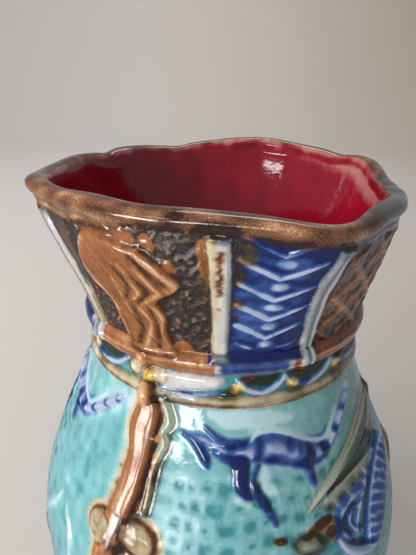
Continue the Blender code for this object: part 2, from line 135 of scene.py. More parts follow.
@dataclass(frozen=True)
class TurnedForm:
    """The plain turned form, with the collar pulled out at its corners and waved along its rim."""

    foot_radius: float = 50.5
    foot_height: float = 9.0
    foot_bulge: float = 1.9
    belly_radius: float = 66.2
    belly_height: float = 74.0
    neck_radius: float = 43.0
    neck_height: float = 155.0
    fullness: float = 1.2
    wall: float = 5.2
    floor: float = 7.0
    cord: float = 147.2
    cord_half: float = 1.6
    cord_bulge: float = 1.2
    ring: float = 158.8
    ring_half: float = 3.3
    ring_bulge: float = 2.3
    collar_height: float = 47.2
    collar_curve: float = 0.7
    rim_radius: float = 53.6
    roll_height: float = 5.0
    corners: Places = ((-1, 7.9, 15), (-88, 4.1, 17), (58, -2.6, 26), (92, 2.9, 13), (180, 1.9, 20))
    waves: Places = (
        (0, -1.6, 13), (48, -3, 30), (-88, 1, 9), (92, 0.6, 9), (140, 2.55, 22), (180, -1.2, 10),
        (-140, 1.2, 22), (74, -2, 15), (-143, -1.6, 15), (-147, -0.7, 4), (177, -0.5, 4), (104, -0.7, 5),
        (58, -0.6, 5))

    def turned(self, height: Array) -> Array:
        """The radius of the plain turned outside at some heights."""
        rise = np.clip((height - self.foot_height) / (self.belly_height - self.foot_height), 0.0, 1.0)
        swell = np.sin(0.5 * math.pi * rise ** (1.0 / self.fullness))
        below = self.foot_radius + (self.belly_radius - self.foot_radius) * swell
        fall = np.clip((height - self.belly_height) / (self.neck_height - self.belly_height), 0.0, 1.0)
        turn = 0.5 + 0.5 * np.cos(math.pi * fall ** self.fullness)
        middle = self.neck_radius + (self.belly_radius - self.neck_radius) * turn
        share = (height - self.neck_height) / self.collar_height
        flare = self.collar_curve * smooth(share) + (1.0 - self.collar_curve) * share
        above = self.neck_radius + (self.rim_radius - self.neck_radius) * flare
        above = np.where(height <= self.neck_height, middle, above)
        return np.where(height <= self.belly_height, below, above)

    def outer(self, azimuth: Array, height: Array) -> Array:
        """The radius of the outside, without its beads, where both are given."""
        rise = np.clip((height - self.neck_height) / self.collar_height, 0.0, None)
        return self.turned(height) + self.bells(azimuth, self.corners) * rise ** 1.5

    def bells(self, azimuth: Array, places: Places) -> Array:
        """The sum of bells round the vessel, each with its azimuth, height and width."""
        return sum(rise * bell(turn_between(azimuth, centre), spread) for centre, rise, spread in places)

    def beads(self, height: Array) -> Array:
        """How far the foot, the cord and the ring stand out at some heights."""
        total = np.zeros_like(height)
        for middle, half, bulge in ((0.45 * self.foot_height, 0.55 * self.foot_height, self.foot_bulge),
                                    (self.cord, self.cord_half, self.cord_bulge),
                                    (self.ring, self.ring_half, self.ring_bulge)):
            total += bulge * np.clip(1.0 - ((height - middle) / half) ** 2, 0.0, 1.0) ** 0.6
        return total

    def rim(self, azimuth: Array) -> Array:
        """The height of the waved rim at some azimuths."""
        return self.neck_height + self.collar_height + self.bells(azimuth, self.waves)

    def arc(self, height: Array) -> Array:
        """The way along the wall from the foot up to some heights."""
        stations = np.linspace(0.0, 1.1 * (self.neck_height + self.collar_height), 900)
        radii = self.turned(stations)
        ways = np.concatenate(([0.0], np.cumsum(np.hypot(np.diff(stations), np.diff(radii)))))
        return np.interp(height, stations, ways)


FORM = TurnedForm()


class Glaze(Enum):
    """The coloured glazes, in the order in which one flows over another."""

    PALE = "pale"
    CREAM = "cream"
    OLIVE = "olive"
    BARK = "bark"
    BROWN = "brown"
    UMBER = "umber"
    COBALT = "cobalt"
    YELLOW = "yellow"
    ROSE = "rose"
    BISCUIT = "biscuit"


PALE, CREAM, OLIVE, BARK, BROWN, UMBER, COBALT, YELLOW, ROSE, BISCUIT = Glaze


class Section(Enum):
    """The cross-sections of raised or pressed marks."""

    ROUND = "round"
    SOFT = "soft"
    PLATE = "plate"
    FLAT = "flat"


@dataclass
class Mark:
    """The points of a wall that a mark reaches, and how they lie in it.

    index holds the points. depth is how far each lies inside the edge, in mm. share is 0 in the middle and 1
    at the edge. across is the signed distance from the middle line, and along the way from its start.
    """

    index: Array
    depth: Array
    share: Array
    across: Array
    along: Array

    def profile(self, section: Section) -> Array:
        """How high a section stands at each point, from 0 at the edge to 1."""
        share = np.clip(self.share, 0.0, 1.0)
        if section is Section.SOFT:
            return smooth(1.0 - share)
        if section is Section.PLATE:
            return smooth(self.depth / 0.9)
        return np.sqrt(1.0 - share ** (2 if section is Section.ROUND else 4))


@dataclass(frozen=True)
class Touch:
    """One mark of the carving. One place is a dome, pairs outline a patch, and threes run along a stroke.

    lift raises the mark to a height over the plain wall, and add raises it over what is there. tone makes its
    glaze thicker, fading over edge, and spread is how far the glaze reaches past the mark. fresh levels off
    the tone of what is under it.
    """

    places: Places
    lift: float | None = None
    glaze: Glaze | None = None
    tone: float = 0.0
    edge: float = 1.0
    spread: float = 0.3
    section: Section = Section.ROUND
    add: float = 0.0
    fresh: bool = False
    steps: int | None = None


class Wall:
    """The outside of one ring of the vessel, with the relief and the glazes that lie on it."""

    def __init__(self, azimuth: Array, level: Array, radius: Array, arc: Array) -> None:
        """Start a bare wall from its points' azimuths, heights, radii and ways along it from the foot."""
        self.shape = azimuth.shape
        self.azimuth, self.level, self.radius, self.arc = (
            values.ravel() for values in (azimuth, level, radius, arc))
        self.relief, self.tone, self.satin = np.zeros((3, azimuth.size))
        self.glazes = {glaze: np.full(azimuth.size, -FAR) for glaze in Glaze}

    def ripple(self, length: float, seed: int, index: object = slice(None), turn: float = 1.0,
               rise: float = 1.0, waves: int = 7) -> Array:
        """Gentle waves over some points, with their azimuths and levels scaled first."""
        return ripple(turn * self.azimuth[index], rise * self.level[index], length, seed, waves)

    def window(self, line: Array, reach: float) -> tuple[Array, Array, Array]:
        """The points near a line, and where they lie from each of its places.

        Args:
            line: places of azimuth and level.
            reach: how far from it a point may be, in mm.

        Returns:
            The points, and their distances across and up from each place of the line.
        """
        middle = 0.5 * (line[:, 0].min() + line[:, 0].max())
        half_turn = 0.5 * (line[:, 0].max() - line[:, 0].min())
        turn = turn_between(self.azimuth, middle)
        ways = FORM.arc(line[:, 1])
        near = np.abs(turn) < half_turn + np.degrees(reach / self.radius)
        near &= (self.arc > ways.min() - reach) & (self.arc < ways.max() + reach)
        index = np.flatnonzero(near)
        x = np.radians(turn[index, None] - (line[None, :, 0] - middle)) * self.radius[index, None]
        return index, x, self.arc[index, None] - ways[None, :]

    def stroke(self, places: Places, azimuth: float = 0.0, way: float = 1.0, steps: int = 6) -> Mark:
        """A stroke along places, each (azimuth, level, width)."""
        line = curve_through(shifted(places, azimuth, way), steps)
        half = 0.5 * np.maximum(line[:, 2], 0.3)
        index, x, y = self.window(line, half.max() + MARK_MARGIN)
        run_x = x[:, :-1] - x[:, 1:]
        run_y = y[:, :-1] - y[:, 1:]
        length = np.sqrt(run_x ** 2 + run_y ** 2) + 1e-9
        share = np.clip((x[:, :-1] * run_x + y[:, :-1] * run_y) / length ** 2, 0.0, 1.0)
        gap_x = x[:, :-1] - share * run_x
        gap_y = y[:, :-1] - share * run_y
        wide = half[:-1] + (half[1:] - half[:-1]) * share
        depth = wide - np.hypot(gap_x, gap_y)
        best = np.arange(index.size), depth.argmax(axis=1) if index.size else np.zeros(0, int)
        ways = np.cumsum(length, axis=1) - length + share * length
        side = np.sign(run_x * gap_y - run_y * gap_x)
        inside = depth[best]
        here = wide[best]
        return Mark(index, inside, 1.0 - inside / here, side[best] * (here - inside), ways[best])

    def patch(self, outline: Places, azimuth: float = 0.0, way: float = 1.0, steps: int = 3) -> Mark:
        """A flat patch inside a closed outline of places, each (azimuth, level)."""
        line = curve_through(shifted(outline, azimuth, way), steps, closed=True)
        line = np.vstack((line, line[:1]))
        index, x, y = self.window(line, MARK_MARGIN)
        run_x = x[:, :-1] - x[:, 1:]
        run_y = y[:, :-1] - y[:, 1:]
        share = (x[:, :-1] * run_x + y[:, :-1] * run_y) / (run_x ** 2 + run_y ** 2 + 1e-9)
        share = np.clip(share, 0.0, 1.0)
        distance = np.hypot(x[:, :-1] - share * run_x, y[:, :-1] - share * run_y).min(axis=1)
        crosses = (y[:, :-1] > 0.0) != (y[:, 1:] > 0.0)
        fall = y[:, 1:] - y[:, :-1]
        meet = x[:, :-1] - y[:, :-1] * (x[:, 1:] - x[:, :-1]) / np.where(fall == 0.0, 1e-9, fall)
        inside = (crosses & (meet > 0.0)).sum(axis=1) % 2 == 1
        depth = np.where(inside, distance, -distance)
        most = max(depth.max(initial=0.0), 0.1)
        return Mark(index, depth, 1.0 - depth / most, x.mean(axis=1), y.mean(axis=1))

    def dome(self, azimuth: float, level: float, half_width: float, half_height: float,
             turn: float = 0.0) -> Mark:
        """An oval mark round a place, its half sizes in mm, turned by an angle in degrees."""
        reach = max(half_width, half_height) + MARK_MARGIN
        index, x, y = self.window(np.array(((azimuth, level), (azimuth, level))), reach)
        cosine = math.cos(math.radians(turn))
        sine = math.sin(math.radians(turn))
        wide = x[:, 0] * cosine + y[:, 0] * sine
        tall = y[:, 0] * cosine - x[:, 0] * sine
        share = np.hypot(wide / half_width, tall / half_height)
        return Mark(index, (1.0 - share) * min(half_width, half_height), share, wide, tall)

    def field(self, low: float, high: float, left: Places | float, right: Places | float) -> Mark:
        """A field between two levels and two sides, each an azimuth or places of level and azimuth."""
        sides = []
        for side in (left, right):
            line = np.array(((0.0, side),) if np.ndim(side) == 0 else side, float)
            sides.append(np.interp(self.level, line[:, 0], line[:, 1]))
        middle = 0.5 * (sides[0] + sides[1])
        half = 0.5 * np.radians(sides[1] - sides[0]) * self.radius
        across = np.radians(turn_between(self.azimuth, middle)) * self.radius
        depth = np.minimum(half - np.abs(across), np.minimum(self.level - low, high - self.level))
        index = np.flatnonzero(depth > -MARK_MARGIN)
        depth = depth[index]
        return Mark(index, depth, 1.0 - depth / half[index], across[index], self.level[index] - low)

    def lay(self, mark: Mark, lift: float | None = None, glaze: Glaze | None = None, tone: Amount = 0.0,
            edge: float = 1.0, spread: float = 0.3, section: Section = Section.ROUND, add: float = 0.0,
            fresh: bool = False) -> Mark:
        """Raise a mark and glaze it.

        Args:
            mark: the mark.
            lift: its height over the plain wall, where nothing higher is there.
            glaze: the glaze that lies on it.
            tone: how much thicker all glazes are on it.
            edge: over what distance that fades.
            spread: how far the glaze reaches past the mark's edge.
            section: the mark's cross-section.
            add: its height over what is there already, negative where it is pressed in.
            fresh: whether the thickness under it is levelled off first.

        Returns:
            The same mark.
        """
        index = mark.index
        raised = mark.depth > 0.0
        if lift is not None:
            self.relief[index] = np.maximum(self.relief[index], lift * mark.profile(section) * raised)
        if add:
            self.relief[index] += add * mark.profile(Section.SOFT) * raised
        if glaze:
            self.cover(glaze, index, mark.depth + spread)
        if fresh:
            self.tone[index] *= 1.0 - smooth(mark.depth / 0.8 + 0.5)
        self.tone[index] += tone * smooth(mark.depth / edge + 0.5)
        return mark

    def cover(self, glaze: Glaze, index: object, depth: Array) -> None:
        """Lay a glaze to some depths inside its edge, where it doesn't lie deeper."""
        self.glazes[glaze][index] = np.maximum(self.glazes[glaze][index], depth)

    def clear(self, mark: Mark, spread: float, *glazes: Glaze) -> None:
        """Wipe glazes off a mark."""
        for glaze in glazes:
            cover = self.glazes[glaze]
            cover[mark.index] = np.minimum(cover[mark.index], -(mark.depth + spread))

    def apply(self, touches: tuple[Touch, ...], azimuth: float = 0.0, way: float = 1.0) -> None:
        """Lay touches drawn round azimuth 0 at another one, mirrored if way is -1."""
        for touch in touches:
            if len(touch.places) == 1:
                turn, level, wide, tall, tilt = touch.places[0]
                mark = self.dome(azimuth + way * turn, level, wide, tall, tilt * way)
            else:
                make = self.patch if len(touch.places[0]) == 2 else self.stroke
                steps = {"steps": touch.steps} if touch.steps else {}
                mark = make(touch.places, azimuth, way, **steps)
            self.lay(mark, touch.lift, touch.glaze, touch.tone, touch.edge, touch.spread, touch.section,
                     touch.add, touch.fresh)

    def blurred(self, values: Array, reach: int) -> Array:
        """Values averaged over the neighbours within a reach, in points of the mesh."""
        grid = values.reshape(self.shape)
        count = 2 * reach + 1
        for _ in range(2):
            grid = sum(np.roll(grid, step, axis=1) for step in range(-reach, reach + 1)) / count
            padded = np.pad(grid, ((reach, reach), (0, 0)), mode="edge")
            grid = sum(padded[step:step + self.shape[0]] for step in range(count)) / count
        return grid.ravel()

    def settle(self, reach: int, pooling: float = 0.42) -> None:
        """Round the carving off as thick glaze does. It runs thin on ridges and pools in hollows."""
        self.relief = np.minimum(0.3 * self.relief + 0.7 * self.blurred(self.relief, 1), RELIEF_LIMIT)
        hollow = np.clip(self.blurred(self.relief, reach) - self.relief, -0.9, 0.9)
        self.tone = np.clip(0.5 + pooling * hollow + self.tone, -0.4, 1.5)


def shifted(places: Places, azimuth: float, way: float = 1.0) -> Places:
    """Places drawn round azimuth 0, moved to another one, and mirrored if way is -1."""
    return tuple((azimuth + way * place[0],) + tuple(place[1:]) for place in places)


def widened(places: Places, turn: float = 0.0, scale: float = 1.0, extra: float = 0.0) -> Places:
    """A stroke's places turned a little, with their widths scaled and then made wider."""
    return tuple((place[0] + turn, place[1], scale * place[2] + extra) for place in places)


@dataclass
class Ground:
    """The stippled ground between the branches: small thumb dents in a net of thin, uneven glaze."""

    turn: float = 5.3
    rise: float = 4.8
    half_width: float = 1.45
    half_height: float = 0.92
    depth: float = 0.22
    top: float = 131.0
    foot: float = 30.0

    def carve(self, wall: Wall) -> None:
        """Press the dents and cloud the glaze."""
        lift = 0.8 * wall.ripple(30.0, 4)
        row = np.round((wall.level - lift) / self.rise)
        lean = 0.20 * wall.ripple(24.0, 3) + 0.28 * np.cos(2.4 * row)
        column = np.round(wall.azimuth / self.turn + lean)
        across = np.radians(wall.azimuth - (column - lean) * self.turn) * wall.radius
        up = wall.level - lift - row * self.rise
        size = 0.85 + 0.35 * np.cos(2.1 * column + 3.7 * row)
        dent = bell(np.hypot(across / self.half_width, up / self.half_height), size)
        half_turn = 0.5 * np.radians(self.turn) * wall.radius
        side = np.maximum(np.abs(across) / half_turn, np.abs(up) / (0.5 * self.rise))
        net = smooth((side + 0.10 * wall.ripple(3.4, 16) - 0.52) / 0.5)
        plain = smooth((21.0 - np.abs(turn_between(wall.azimuth, -76.0))) / 6.0)
        region = smooth((self.top - wall.level) / 7.0) * smooth((wall.level - self.foot) / 6.0)
        region *= 1.0 - 0.8 * plain
        wall.satin = region
        wall.relief += region * (0.05 * net - self.depth * dent) + 0.07 * wall.ripple(12.0, 5)
        uneven = 0.09 * np.cos(1.7 * column - 2.9 * row)
        wall.tone += region * (0.66 * dent + 0.11 - 0.17 * net + uneven)
        clouds = 0.05 * wall.ripple(15.0, 6, rise=0.6) + 0.06 * wall.ripple(5.0, 8, rise=0.7)
        drips = 0.07 * wall.ripple(5.0, 15, rise=0.10) * plain
        wall.tone += clouds + 0.02 + drips
        wall.tone -= 0.14 * smooth((wall.level - 132.0) / 9.0) * smooth((146.0 - wall.level) / 2.0)


STEM = (
    (1.6, 149.6, 2.4), (2.6, 146.2, 5.6), (3.6, 142.4, 8), (2.6, 136.4, 9.4), (3.2, 130.8, 7.8),
    (2.8, 126, 7.8), (2.2, 120.6, 7.8), (0.9, 115.4, 8), (-0.4, 108, 8.8), (-2.4, 94, 7.6), (-4, 76, 7),
    (-2, 60, 8.5), (-0.5, 36, 7), (0, 11, 11))
TWIG = (
    (8.4, 146, 2.4), (10.6, 142.4, 2.8), (11.4, 139.6, 3.2), (9.6, 137, 2.6), (10.8, 134, 3),
    (9.2, 130.4, 2.8), (8.4, 126, 2.6), (8.2, 120, 2.4), (8, 116.4, 2))
GAP = (
    (8.2, 145, 2.4), (8.8, 141, 3.2), (8.4, 136, 3.2), (8.2, 131, 3.4), (7.6, 126, 3.4), (7, 120, 3.2),
    (6.4, 115, 2.4))


@dataclass
class Branches:
    """The upright branches with their knots and twigs, each in a halo where the ground's glaze drew back."""

    lift: float = 3.3
    knots: tuple[float, ...] = (109.0, 60.0)
    sides: tuple[Touch, ...] = (
        Touch(widened(STEM, -0.6, extra=5.4), tone=-0.34, edge=2.4),
        Touch(widened(STEM, -1.2, extra=2.2), glaze=CREAM, tone=0.12, edge=1.6, spread=0.0),
        # Painted shade between the stem and the twig: dark olive glaze, with brown down its middle, fills the
        # gap.
        Touch(GAP, glaze=OLIVE, tone=0.16, edge=1.6),
        Touch(widened(GAP, -0.6, 0.5), glaze=BROWN, spread=-0.2),
        Touch(widened(TWIG, 0.4, extra=1.8), glaze=OLIVE, tone=0.24, edge=1.6, spread=0.1),
        Touch(TWIG, 1.3, section=Section.SOFT),
        Touch(widened(TWIG[:6], -0.2, 0.95), tone=-1.05, edge=1.4),
        Touch(widened(TWIG[5:], 0.0, 0.6), glaze=BROWN, tone=-0.22, spread=-0.3),
    )
    bulges: tuple[Touch, ...] = (
        Touch(((7.0, 143.0, 1.6, 1.9, 0.0),), 0.8 * 3.3, BROWN, spread=0.2),
        Touch(((7.8, 135.2, 1.6, 1.5, 0.0),), 0.8 * 3.3, BROWN, spread=0.2),
    )

    def carve(self, wall: Wall) -> None:
        """Raise and glaze each branch, and lower the one that would show past the neck."""
        for azimuth in BRANCH_AZIMUTHS:
            wall.apply(self.sides, azimuth)
            self.carve_stem(wall, azimuth)
            for level in self.knots:
                self.carve_knot(wall, azimuth, level)
        near = smooth((14.0 - np.abs(turn_between(wall.azimuth, BRANCH_AZIMUTHS[1]))) / 4.0)
        wall.relief *= 1.0 - 0.85 * near * smooth((wall.level - 94.0) / 14.0)

    def carve_stem(self, wall: Wall, azimuth: float) -> None:
        """Raise a branch with the long furrows of its bark, with painted shade down its right side and a
        painted highlight down its middle.
        """
        stem = wall.lay(wall.stroke(STEM, azimuth), self.lift, section=Section.FLAT, fresh=True)
        wall.apply(self.bulges, azimuth)
        furrow = np.cos(TURN * (stem.across / 2.5 + 0.35 * wall.ripple(22.0, 7, stem.index)))
        lumps = wall.ripple(9.0, 9, stem.index)
        inside = smooth(stem.depth / 1.2)
        wall.relief[stem.index] -= 0.05 * inside * (1.0 - furrow) + 0.10 * inside * (1.0 - lumps)
        wall.cover(BROWN, stem.index, stem.depth + 0.2)
        # dark is painted shade down the stem's right side, and pale a painted highlight down its middle;
        # uneven adds both to the furrows and to the glaze pooled at the stem's edges.
        dark = smooth((stem.across - 1.8) / 1.8)
        edge = smooth(1.0 - stem.depth / 1.4)
        pale = smooth((1.9 - np.abs(stem.across + 0.3)) / 1.2) * inside
        uneven = 0.16 + 0.12 * dark + 0.09 * furrow + 0.26 * edge - 0.16 * pale
        wall.tone[stem.index] += smooth(stem.depth / 0.8 + 0.6) * uneven

    def carve_knot(self, wall: Wall, azimuth: float, level: float) -> None:
        """Raise the two lobes of a knot, tan and olive, brown round their edges and pale outside them."""
        left = wall.dome(azimuth - 4.4, level - 1.0, 5.4, 5.0, turn=14.0)
        right = wall.dome(azimuth + 7.2, level + 0.2, 6.4, 4.9, turn=-24.0)
        for lobe, spread, amount in ((left, 1.5, 0.32), (right, 1.9, 0.42)):
            wall.lay(lobe, 0.5 * self.lift, CREAM, -0.30, 3.4, spread, Section.FLAT)
            wall.clear(lobe, -1.0, BROWN)
            wall.cover(BROWN, lobe.index, 0.55 - np.abs(lobe.depth - 0.3))
            lumps = wall.ripple(5.0, 61, lobe.index)
            wall.lay(lobe, tone=amount + 0.10 * lumps, edge=0.8, fresh=True)
            wall.relief[lobe.index] += 0.12 * lumps * smooth(lobe.depth / 1.5)
        for turn, rise, wide, tall in ((1.6, 4.2, 3.4, 0.8), (4.6, -4.8, 5.4, 1.5), (1.4, -1.0, 0.8, 4.0)):
            dark = wall.dome(azimuth + turn, level + rise, wide, tall, turn=-14.0)
            wall.lay(dark, glaze=BROWN, tone=0.40, edge=1.6, spread=0.4, add=-0.12)


BEAST = (
    (-25, 134.6, 2.2), (-20, 134.2, 4.4), (-14.5, 134.4, 6.4), (-9, 134.4, 8), (-3, 133.2, 8.4),
    (3, 131.2, 7.6), (8, 129.8, 6), (12, 129.6, 4.8), (16, 131.2, 3.6), (20, 133.6, 3.2), (25.3, 137, 3),
    (30, 140, 2.2), (33, 142, 1.2))


@dataclass
class Beasts:
    """The leaping beasts, with open jaws, bent legs and a long spotted tail, in watery cobalt."""

    stands: Places = ((0, 1, 1), (-96, 1, 0.45), (104, -1, 1))
    lift: float = 1.5
    halos_and_painted_sheen: tuple[Touch, ...] = (
        Touch(widened(BEAST, extra=4.4), tone=-0.24, edge=3.4),
        *(Touch(places, tone=-0.50, edge=2.4) for places in (
            ((-10.8, 129.6, 1.4), (-10.8, 127.2, 3), (-9.2, 124, 3), (-8.4, 120.6, 1.8)),
            ((-21.4, 128, 1.6), (-21.2, 125, 2), (-18.4, 121.8, 1.8), (-15, 120.2, 1.6)),
            # Painted sheen: a pale stroke above the back stands for a soft reflection.
            ((-28, 143.6, 2.4), (-20, 142.4, 5), (-9, 142.2, 4), (0, 141, 2)))),
    )
    limbs_and_belly_shade: tuple[tuple[Places, float, float], ...] = (
        (((-34.6, 137.6, 1), (-31, 137.2, 2), (-28.4, 136.6, 1.8), (-26, 135.6, 1.2)), -0.20, 0.4),
        ((
            (-38, 138.2, 0.5), (-34.2, 136.8, 1.5), (-31.2, 134.6, 2.7), (-29.4, 132.2, 2.4),
            (-28.4, 130.2, 0.8)), 0.50, 0.5),
        ((
            (-29.8, 140.4, 0.6), (-27.4, 138.6, 1.3), (-24.6, 137, 2), (-21.2, 135.8, 3),
            (-17.6, 136.2, 2.2), (-15.2, 137, 0.8)), 0.60, 0.6),
        (((-27.2, 134.4, 0.8), (-24, 133.2, 2.4), (-20.4, 132.2, 3.4), (-17.8, 130.6, 4.2)), 0.62, 0.7),
        ((
            (-18, 132, 4), (-18, 128.4, 4.2), (-18, 125.8, 3.8), (-16.8, 123.8, 2.6),
            (-15, 122.6, 1)), 0.80, 0.6),
        ((
            (-12.6, 130.4, 0.8), (-14.4, 127.4, 1.4), (-13.9, 124.6, 2.2), (-11.8, 121.4, 2.4),
            (-9.9, 118.2, 2), (-8.6, 115.4, 0.8)), 0.72, 0.8),
        (((3.6, 128.6, 3.2), (4.6, 125.8, 2.4), (5, 123.8, 2.2), (5.6, 122.2, 1)), 0.62, 0.7),
        # Painted shade: a darker cobalt stroke, not raised, along the underside of the belly.
        (((-10, 131.4, 1.6), (-3, 129.8, 2), (3, 128, 2.4), (9, 127.6, 2)), 0.34, 0.0),
    )
    ridge: Places = (
        (-14.6, 136.8, 0.9), (-11.6, 138.6, 1.3), (-6.8, 138.8, 1.4), (-2.2, 137.4, 1.3), (3.2, 135, 1.2),
        (8.6, 133, 1.2), (13.4, 132.2, 1.1), (17.6, 134.6, 1), (22, 138, 0.8))
    marks: Places = (
        (-12, 134, 1.2, 2.9, 0.52, -12), (-1.2, 134, 1.2, 1.9, 0.42, 0), (-7, 131.6, 2.4, 1, 0.34, 0),
        (2.4, 132.2, 0.9, 1.9, 0.24, 0), (5.4, 129.8, 1.45, 2.7, 0.95, 0),
        (11.8, 129.6, 1.5, 2.1, 0.95, 8), (18.8, 132.8, 1.3, 1.15, 0.92, 0), (25, 136.8, 1.2, 1, 0.8, 0),
        (30.2, 140, 1, 0.9, 0.6, 0))
    neck: Touch = Touch(((-26.6, 135.8, 0.8), (-22.6, 134.6, 1.4), (-18.4, 133.8, 2.2), (-14.8, 132.6, 1.6)),
                        tone=-0.30, edge=1.2)
    # Painted shadow: a dark cobalt arc over the rump, between the back and the tail.
    above: Touch = Touch(((6.4, 134.4, 0.8), (9.6, 133.5, 1.4), (12.6, 133.4, 1.5), (15.4, 135.2, 0.8)),
                         glaze=COBALT, tone=0.12, edge=1.4, spread=-0.3)

    def carve(self, wall: Wall) -> None:
        """Raise each beast, dark at its head, legs and spots, with a painted highlight along its back and a
        painted sheen above it, painted shade along its belly and a painted shadow over its rump.
        """
        for azimuth, way, strength in self.stands:
            wall.apply(self.halos_and_painted_sheen, azimuth, way)
            body = wall.stroke(BEAST, azimuth, way)
            wall.lay(body, self.lift, COBALT, section=Section.SOFT, fresh=True)
            fading = smooth((way * turn_between(wall.azimuth[body.index], azimuth) - 14.0) / 5.0)
            thin = 0.07 + 0.5 * (1.0 - strength) + 0.24 * fading
            wall.lay(body, tone=0.09 * wall.ripple(6.0, 51, body.index) - thin, edge=0.8)
            wall.lay(wall.dome(azimuth - 6.6 * way, 134.6, 2.4, 2.0), tone=-0.16, edge=1.2, add=0.35)
            for places, amount, lift in self.limbs_and_belly_shade:
                limb = wall.stroke(places, azimuth, way)
                wall.lay(limb, lift * self.lift, COBALT, amount * strength, 2.0, 0.4)
            for turn, level, wide, tall, amount, tilt in self.marks:
                mark = wall.dome(azimuth + way * turn, level, wide, tall, tilt * way)
                wall.lay(mark, glaze=COBALT, tone=amount, edge=1.8, add=-0.2)
            wall.apply((self.neck,), azimuth, way)
            # Painted highlight: the raised ridge along the back is thinned and wiped of cobalt to a pale
            # line.
            ridge = wall.lay(wall.stroke(self.ridge, azimuth, way), tone=-0.60, add=0.35)
            wall.clear(ridge, -0.2, COBALT)
            wall.apply((self.above,), azimuth, way)


@dataclass
class LowScene:
    """The low carving under the front beast: a slanting ridged leaf, a striped curled tail and a shell."""

    leaf: Places = (
        (1.4, 116, 0.5), (8, 119.6, 3), (16, 122, 5.6), (26, 124.2, 9), (36, 126, 13), (46, 127.4, 14.5),
        (56, 129, 8))
    under_leaf: tuple[Touch, ...] = (
        Touch(((7, 116.8), (20, 119.6), (34, 118.4), (46, 118), (40, 115.4), (30, 114.6), (20, 114.6),
               (10, 113.6)), glaze=OLIVE, tone=-0.48, edge=1.6),)
    over_leaf: tuple[Touch, ...] = (
        Touch((
            (10, 119, 1.6), (15, 120.4, 3.8), (23, 122, 6.2), (32, 123.4, 8), (42, 125, 9), (50, 128, 8.4),
            (56, 131.4, 4.6)),
              glaze=OLIVE, tone=0.84, edge=2.4, spread=0.6, add=-0.7),
        Touch(((8, 116.8, 0.9), (19, 118.9, 1), (29, 118.7, 1.1), (41, 117.6, 1.1), (49, 119.4, 1)),
              tone=-0.5, add=0.5),
    )
    tail: Places = (
        (43.4, 118.4, 3), (39.8, 115, 8.6), (35.2, 111.4, 12), (30.6, 107.6, 13.2), (27, 103.4, 12.6),
        (23.6, 99.4, 9))
    strand: Touch = Touch(((27.4, 116.6, 1), (22.6, 112.8, 1.5), (18.6, 108.8, 1.6), (16.2, 103.8, 1.4)),
                          1.9, COBALT, -0.12, 1.2, 0.5)
    rings: tuple[tuple[Places, float, float], ...] = (
        ((
            (25, 114.4, 1.6), (21, 114, 2.2), (16, 113.8, 2.3), (11.6, 111.8, 2.4), (10.6, 108.4, 2.4),
            (13.4, 104.6, 2.4)), 2.0, 0.30),
        ((
            (21, 110.4, 1.4), (17, 110.9, 1.7), (14.6, 109, 1.9), (15.8, 105.8, 1.7),
            (19, 103.8, 1.2)), 1.5, 0.05),
    )
    lips: tuple[Touch, ...] = (
        Touch(((12.4, 103.6, 1.4), (17, 100.4, 2), (24, 97.6, 1.8)), None, COBALT, 0.6, 1.4, 0.6),
        Touch(((9.6, 106, 1.6), (11.6, 102.8, 2.6), (15, 99.4, 3.4), (20, 96.6, 3.6), (26, 94.6, 2.6)),
              1.7, COBALT, -0.30, 1.2, fresh=True),
    )
    shell: Places = ((0.0, -0.6, 5.6, 3.2, 0.05), (6.0, 1.0, 4.2, 3.8, 0.30), (-3.4, -6.0, 4.8, 2.2, -0.30),
                     (-8.6, 2.4, 1.5, 0.9, 0.50))
    shell_glazes: tuple[Glaze, ...] = (OLIVE, CREAM, OLIVE, BROWN)
    heart: tuple[Touch, ...] = (
        Touch(((0.2, 110.2, 1.6), (4.2, 112.0, 2.4), (8.2, 112.6, 1.6)), None, BROWN, 0.35, 1.2, 0.1),
        Touch(((7.6, 109.2, 1.7, 1.4, -20.0),), None, BROWN, 0.8, 1.4, 0.5, add=-0.8),
    )

    def carve(self, wall: Wall) -> None:
        """Raise and glaze each form."""
        self.carve_grass(wall)
        self.carve_leaf(wall)
        self.carve_tail(wall)
        for (turn, rise, wide, tall, amount), glaze in zip(self.shell, self.shell_glazes):
            lump = wall.dome(1.0 + turn, 108.6 + rise, wide, tall, turn=-18.0)
            wall.lay(lump, 1.5 if tall > 3.0 else 0.8, glaze, amount, 1.4, 0.4)
            wall.tone[lump.index] += 0.5 * bell(lump.share - 0.85, 0.2)
        wall.apply(self.heart)

    def carve_grass(self, wall: Wall) -> None:
        """Press faint upright strokes into the ground between the beast's legs, in thin grey glaze."""
        grey = ((-10, 126), (-2, 127), (6, 124), (8, 116), (2, 108), (-8, 110), (-10, 118))
        wall.lay(wall.patch(grey), tone=-0.22, edge=5.0)
        for step in range(11):
            azimuth = -8.6 + 1.9 * step
            foot = 109.0 + 2.2 * math.sin(5.1 * step)
            top = 123.6 - 0.5 * step + 1.8 * math.sin(2.4 * step)
            blade = (0, foot, 0.9), (0.5, 116, 1.4), (-0.3, top, 0.7)
            wall.lay(wall.stroke(blade, azimuth), tone=0.16, edge=1.2, add=0.30)

    def carve_leaf(self, wall: Wall) -> None:
        """Raise the slanting leaf, with fine veins along it, a dark crease and a pale edge under that."""
        wall.apply(self.under_leaf)
        leaf = wall.lay(wall.stroke(self.leaf), 1.6, OLIVE, section=Section.SOFT, fresh=True)
        share = leaf.across / (np.abs(leaf.across) + np.maximum(leaf.depth, 0.2))
        veins = np.cos(TURN * share * 3.6 + 0.8)
        wall.relief[leaf.index] += 0.16 * veins * smooth(leaf.depth / 1.2)
        wall.lay(leaf, tone=-0.42 - 0.12 * veins, edge=0.8)
        wall.apply(self.over_leaf)

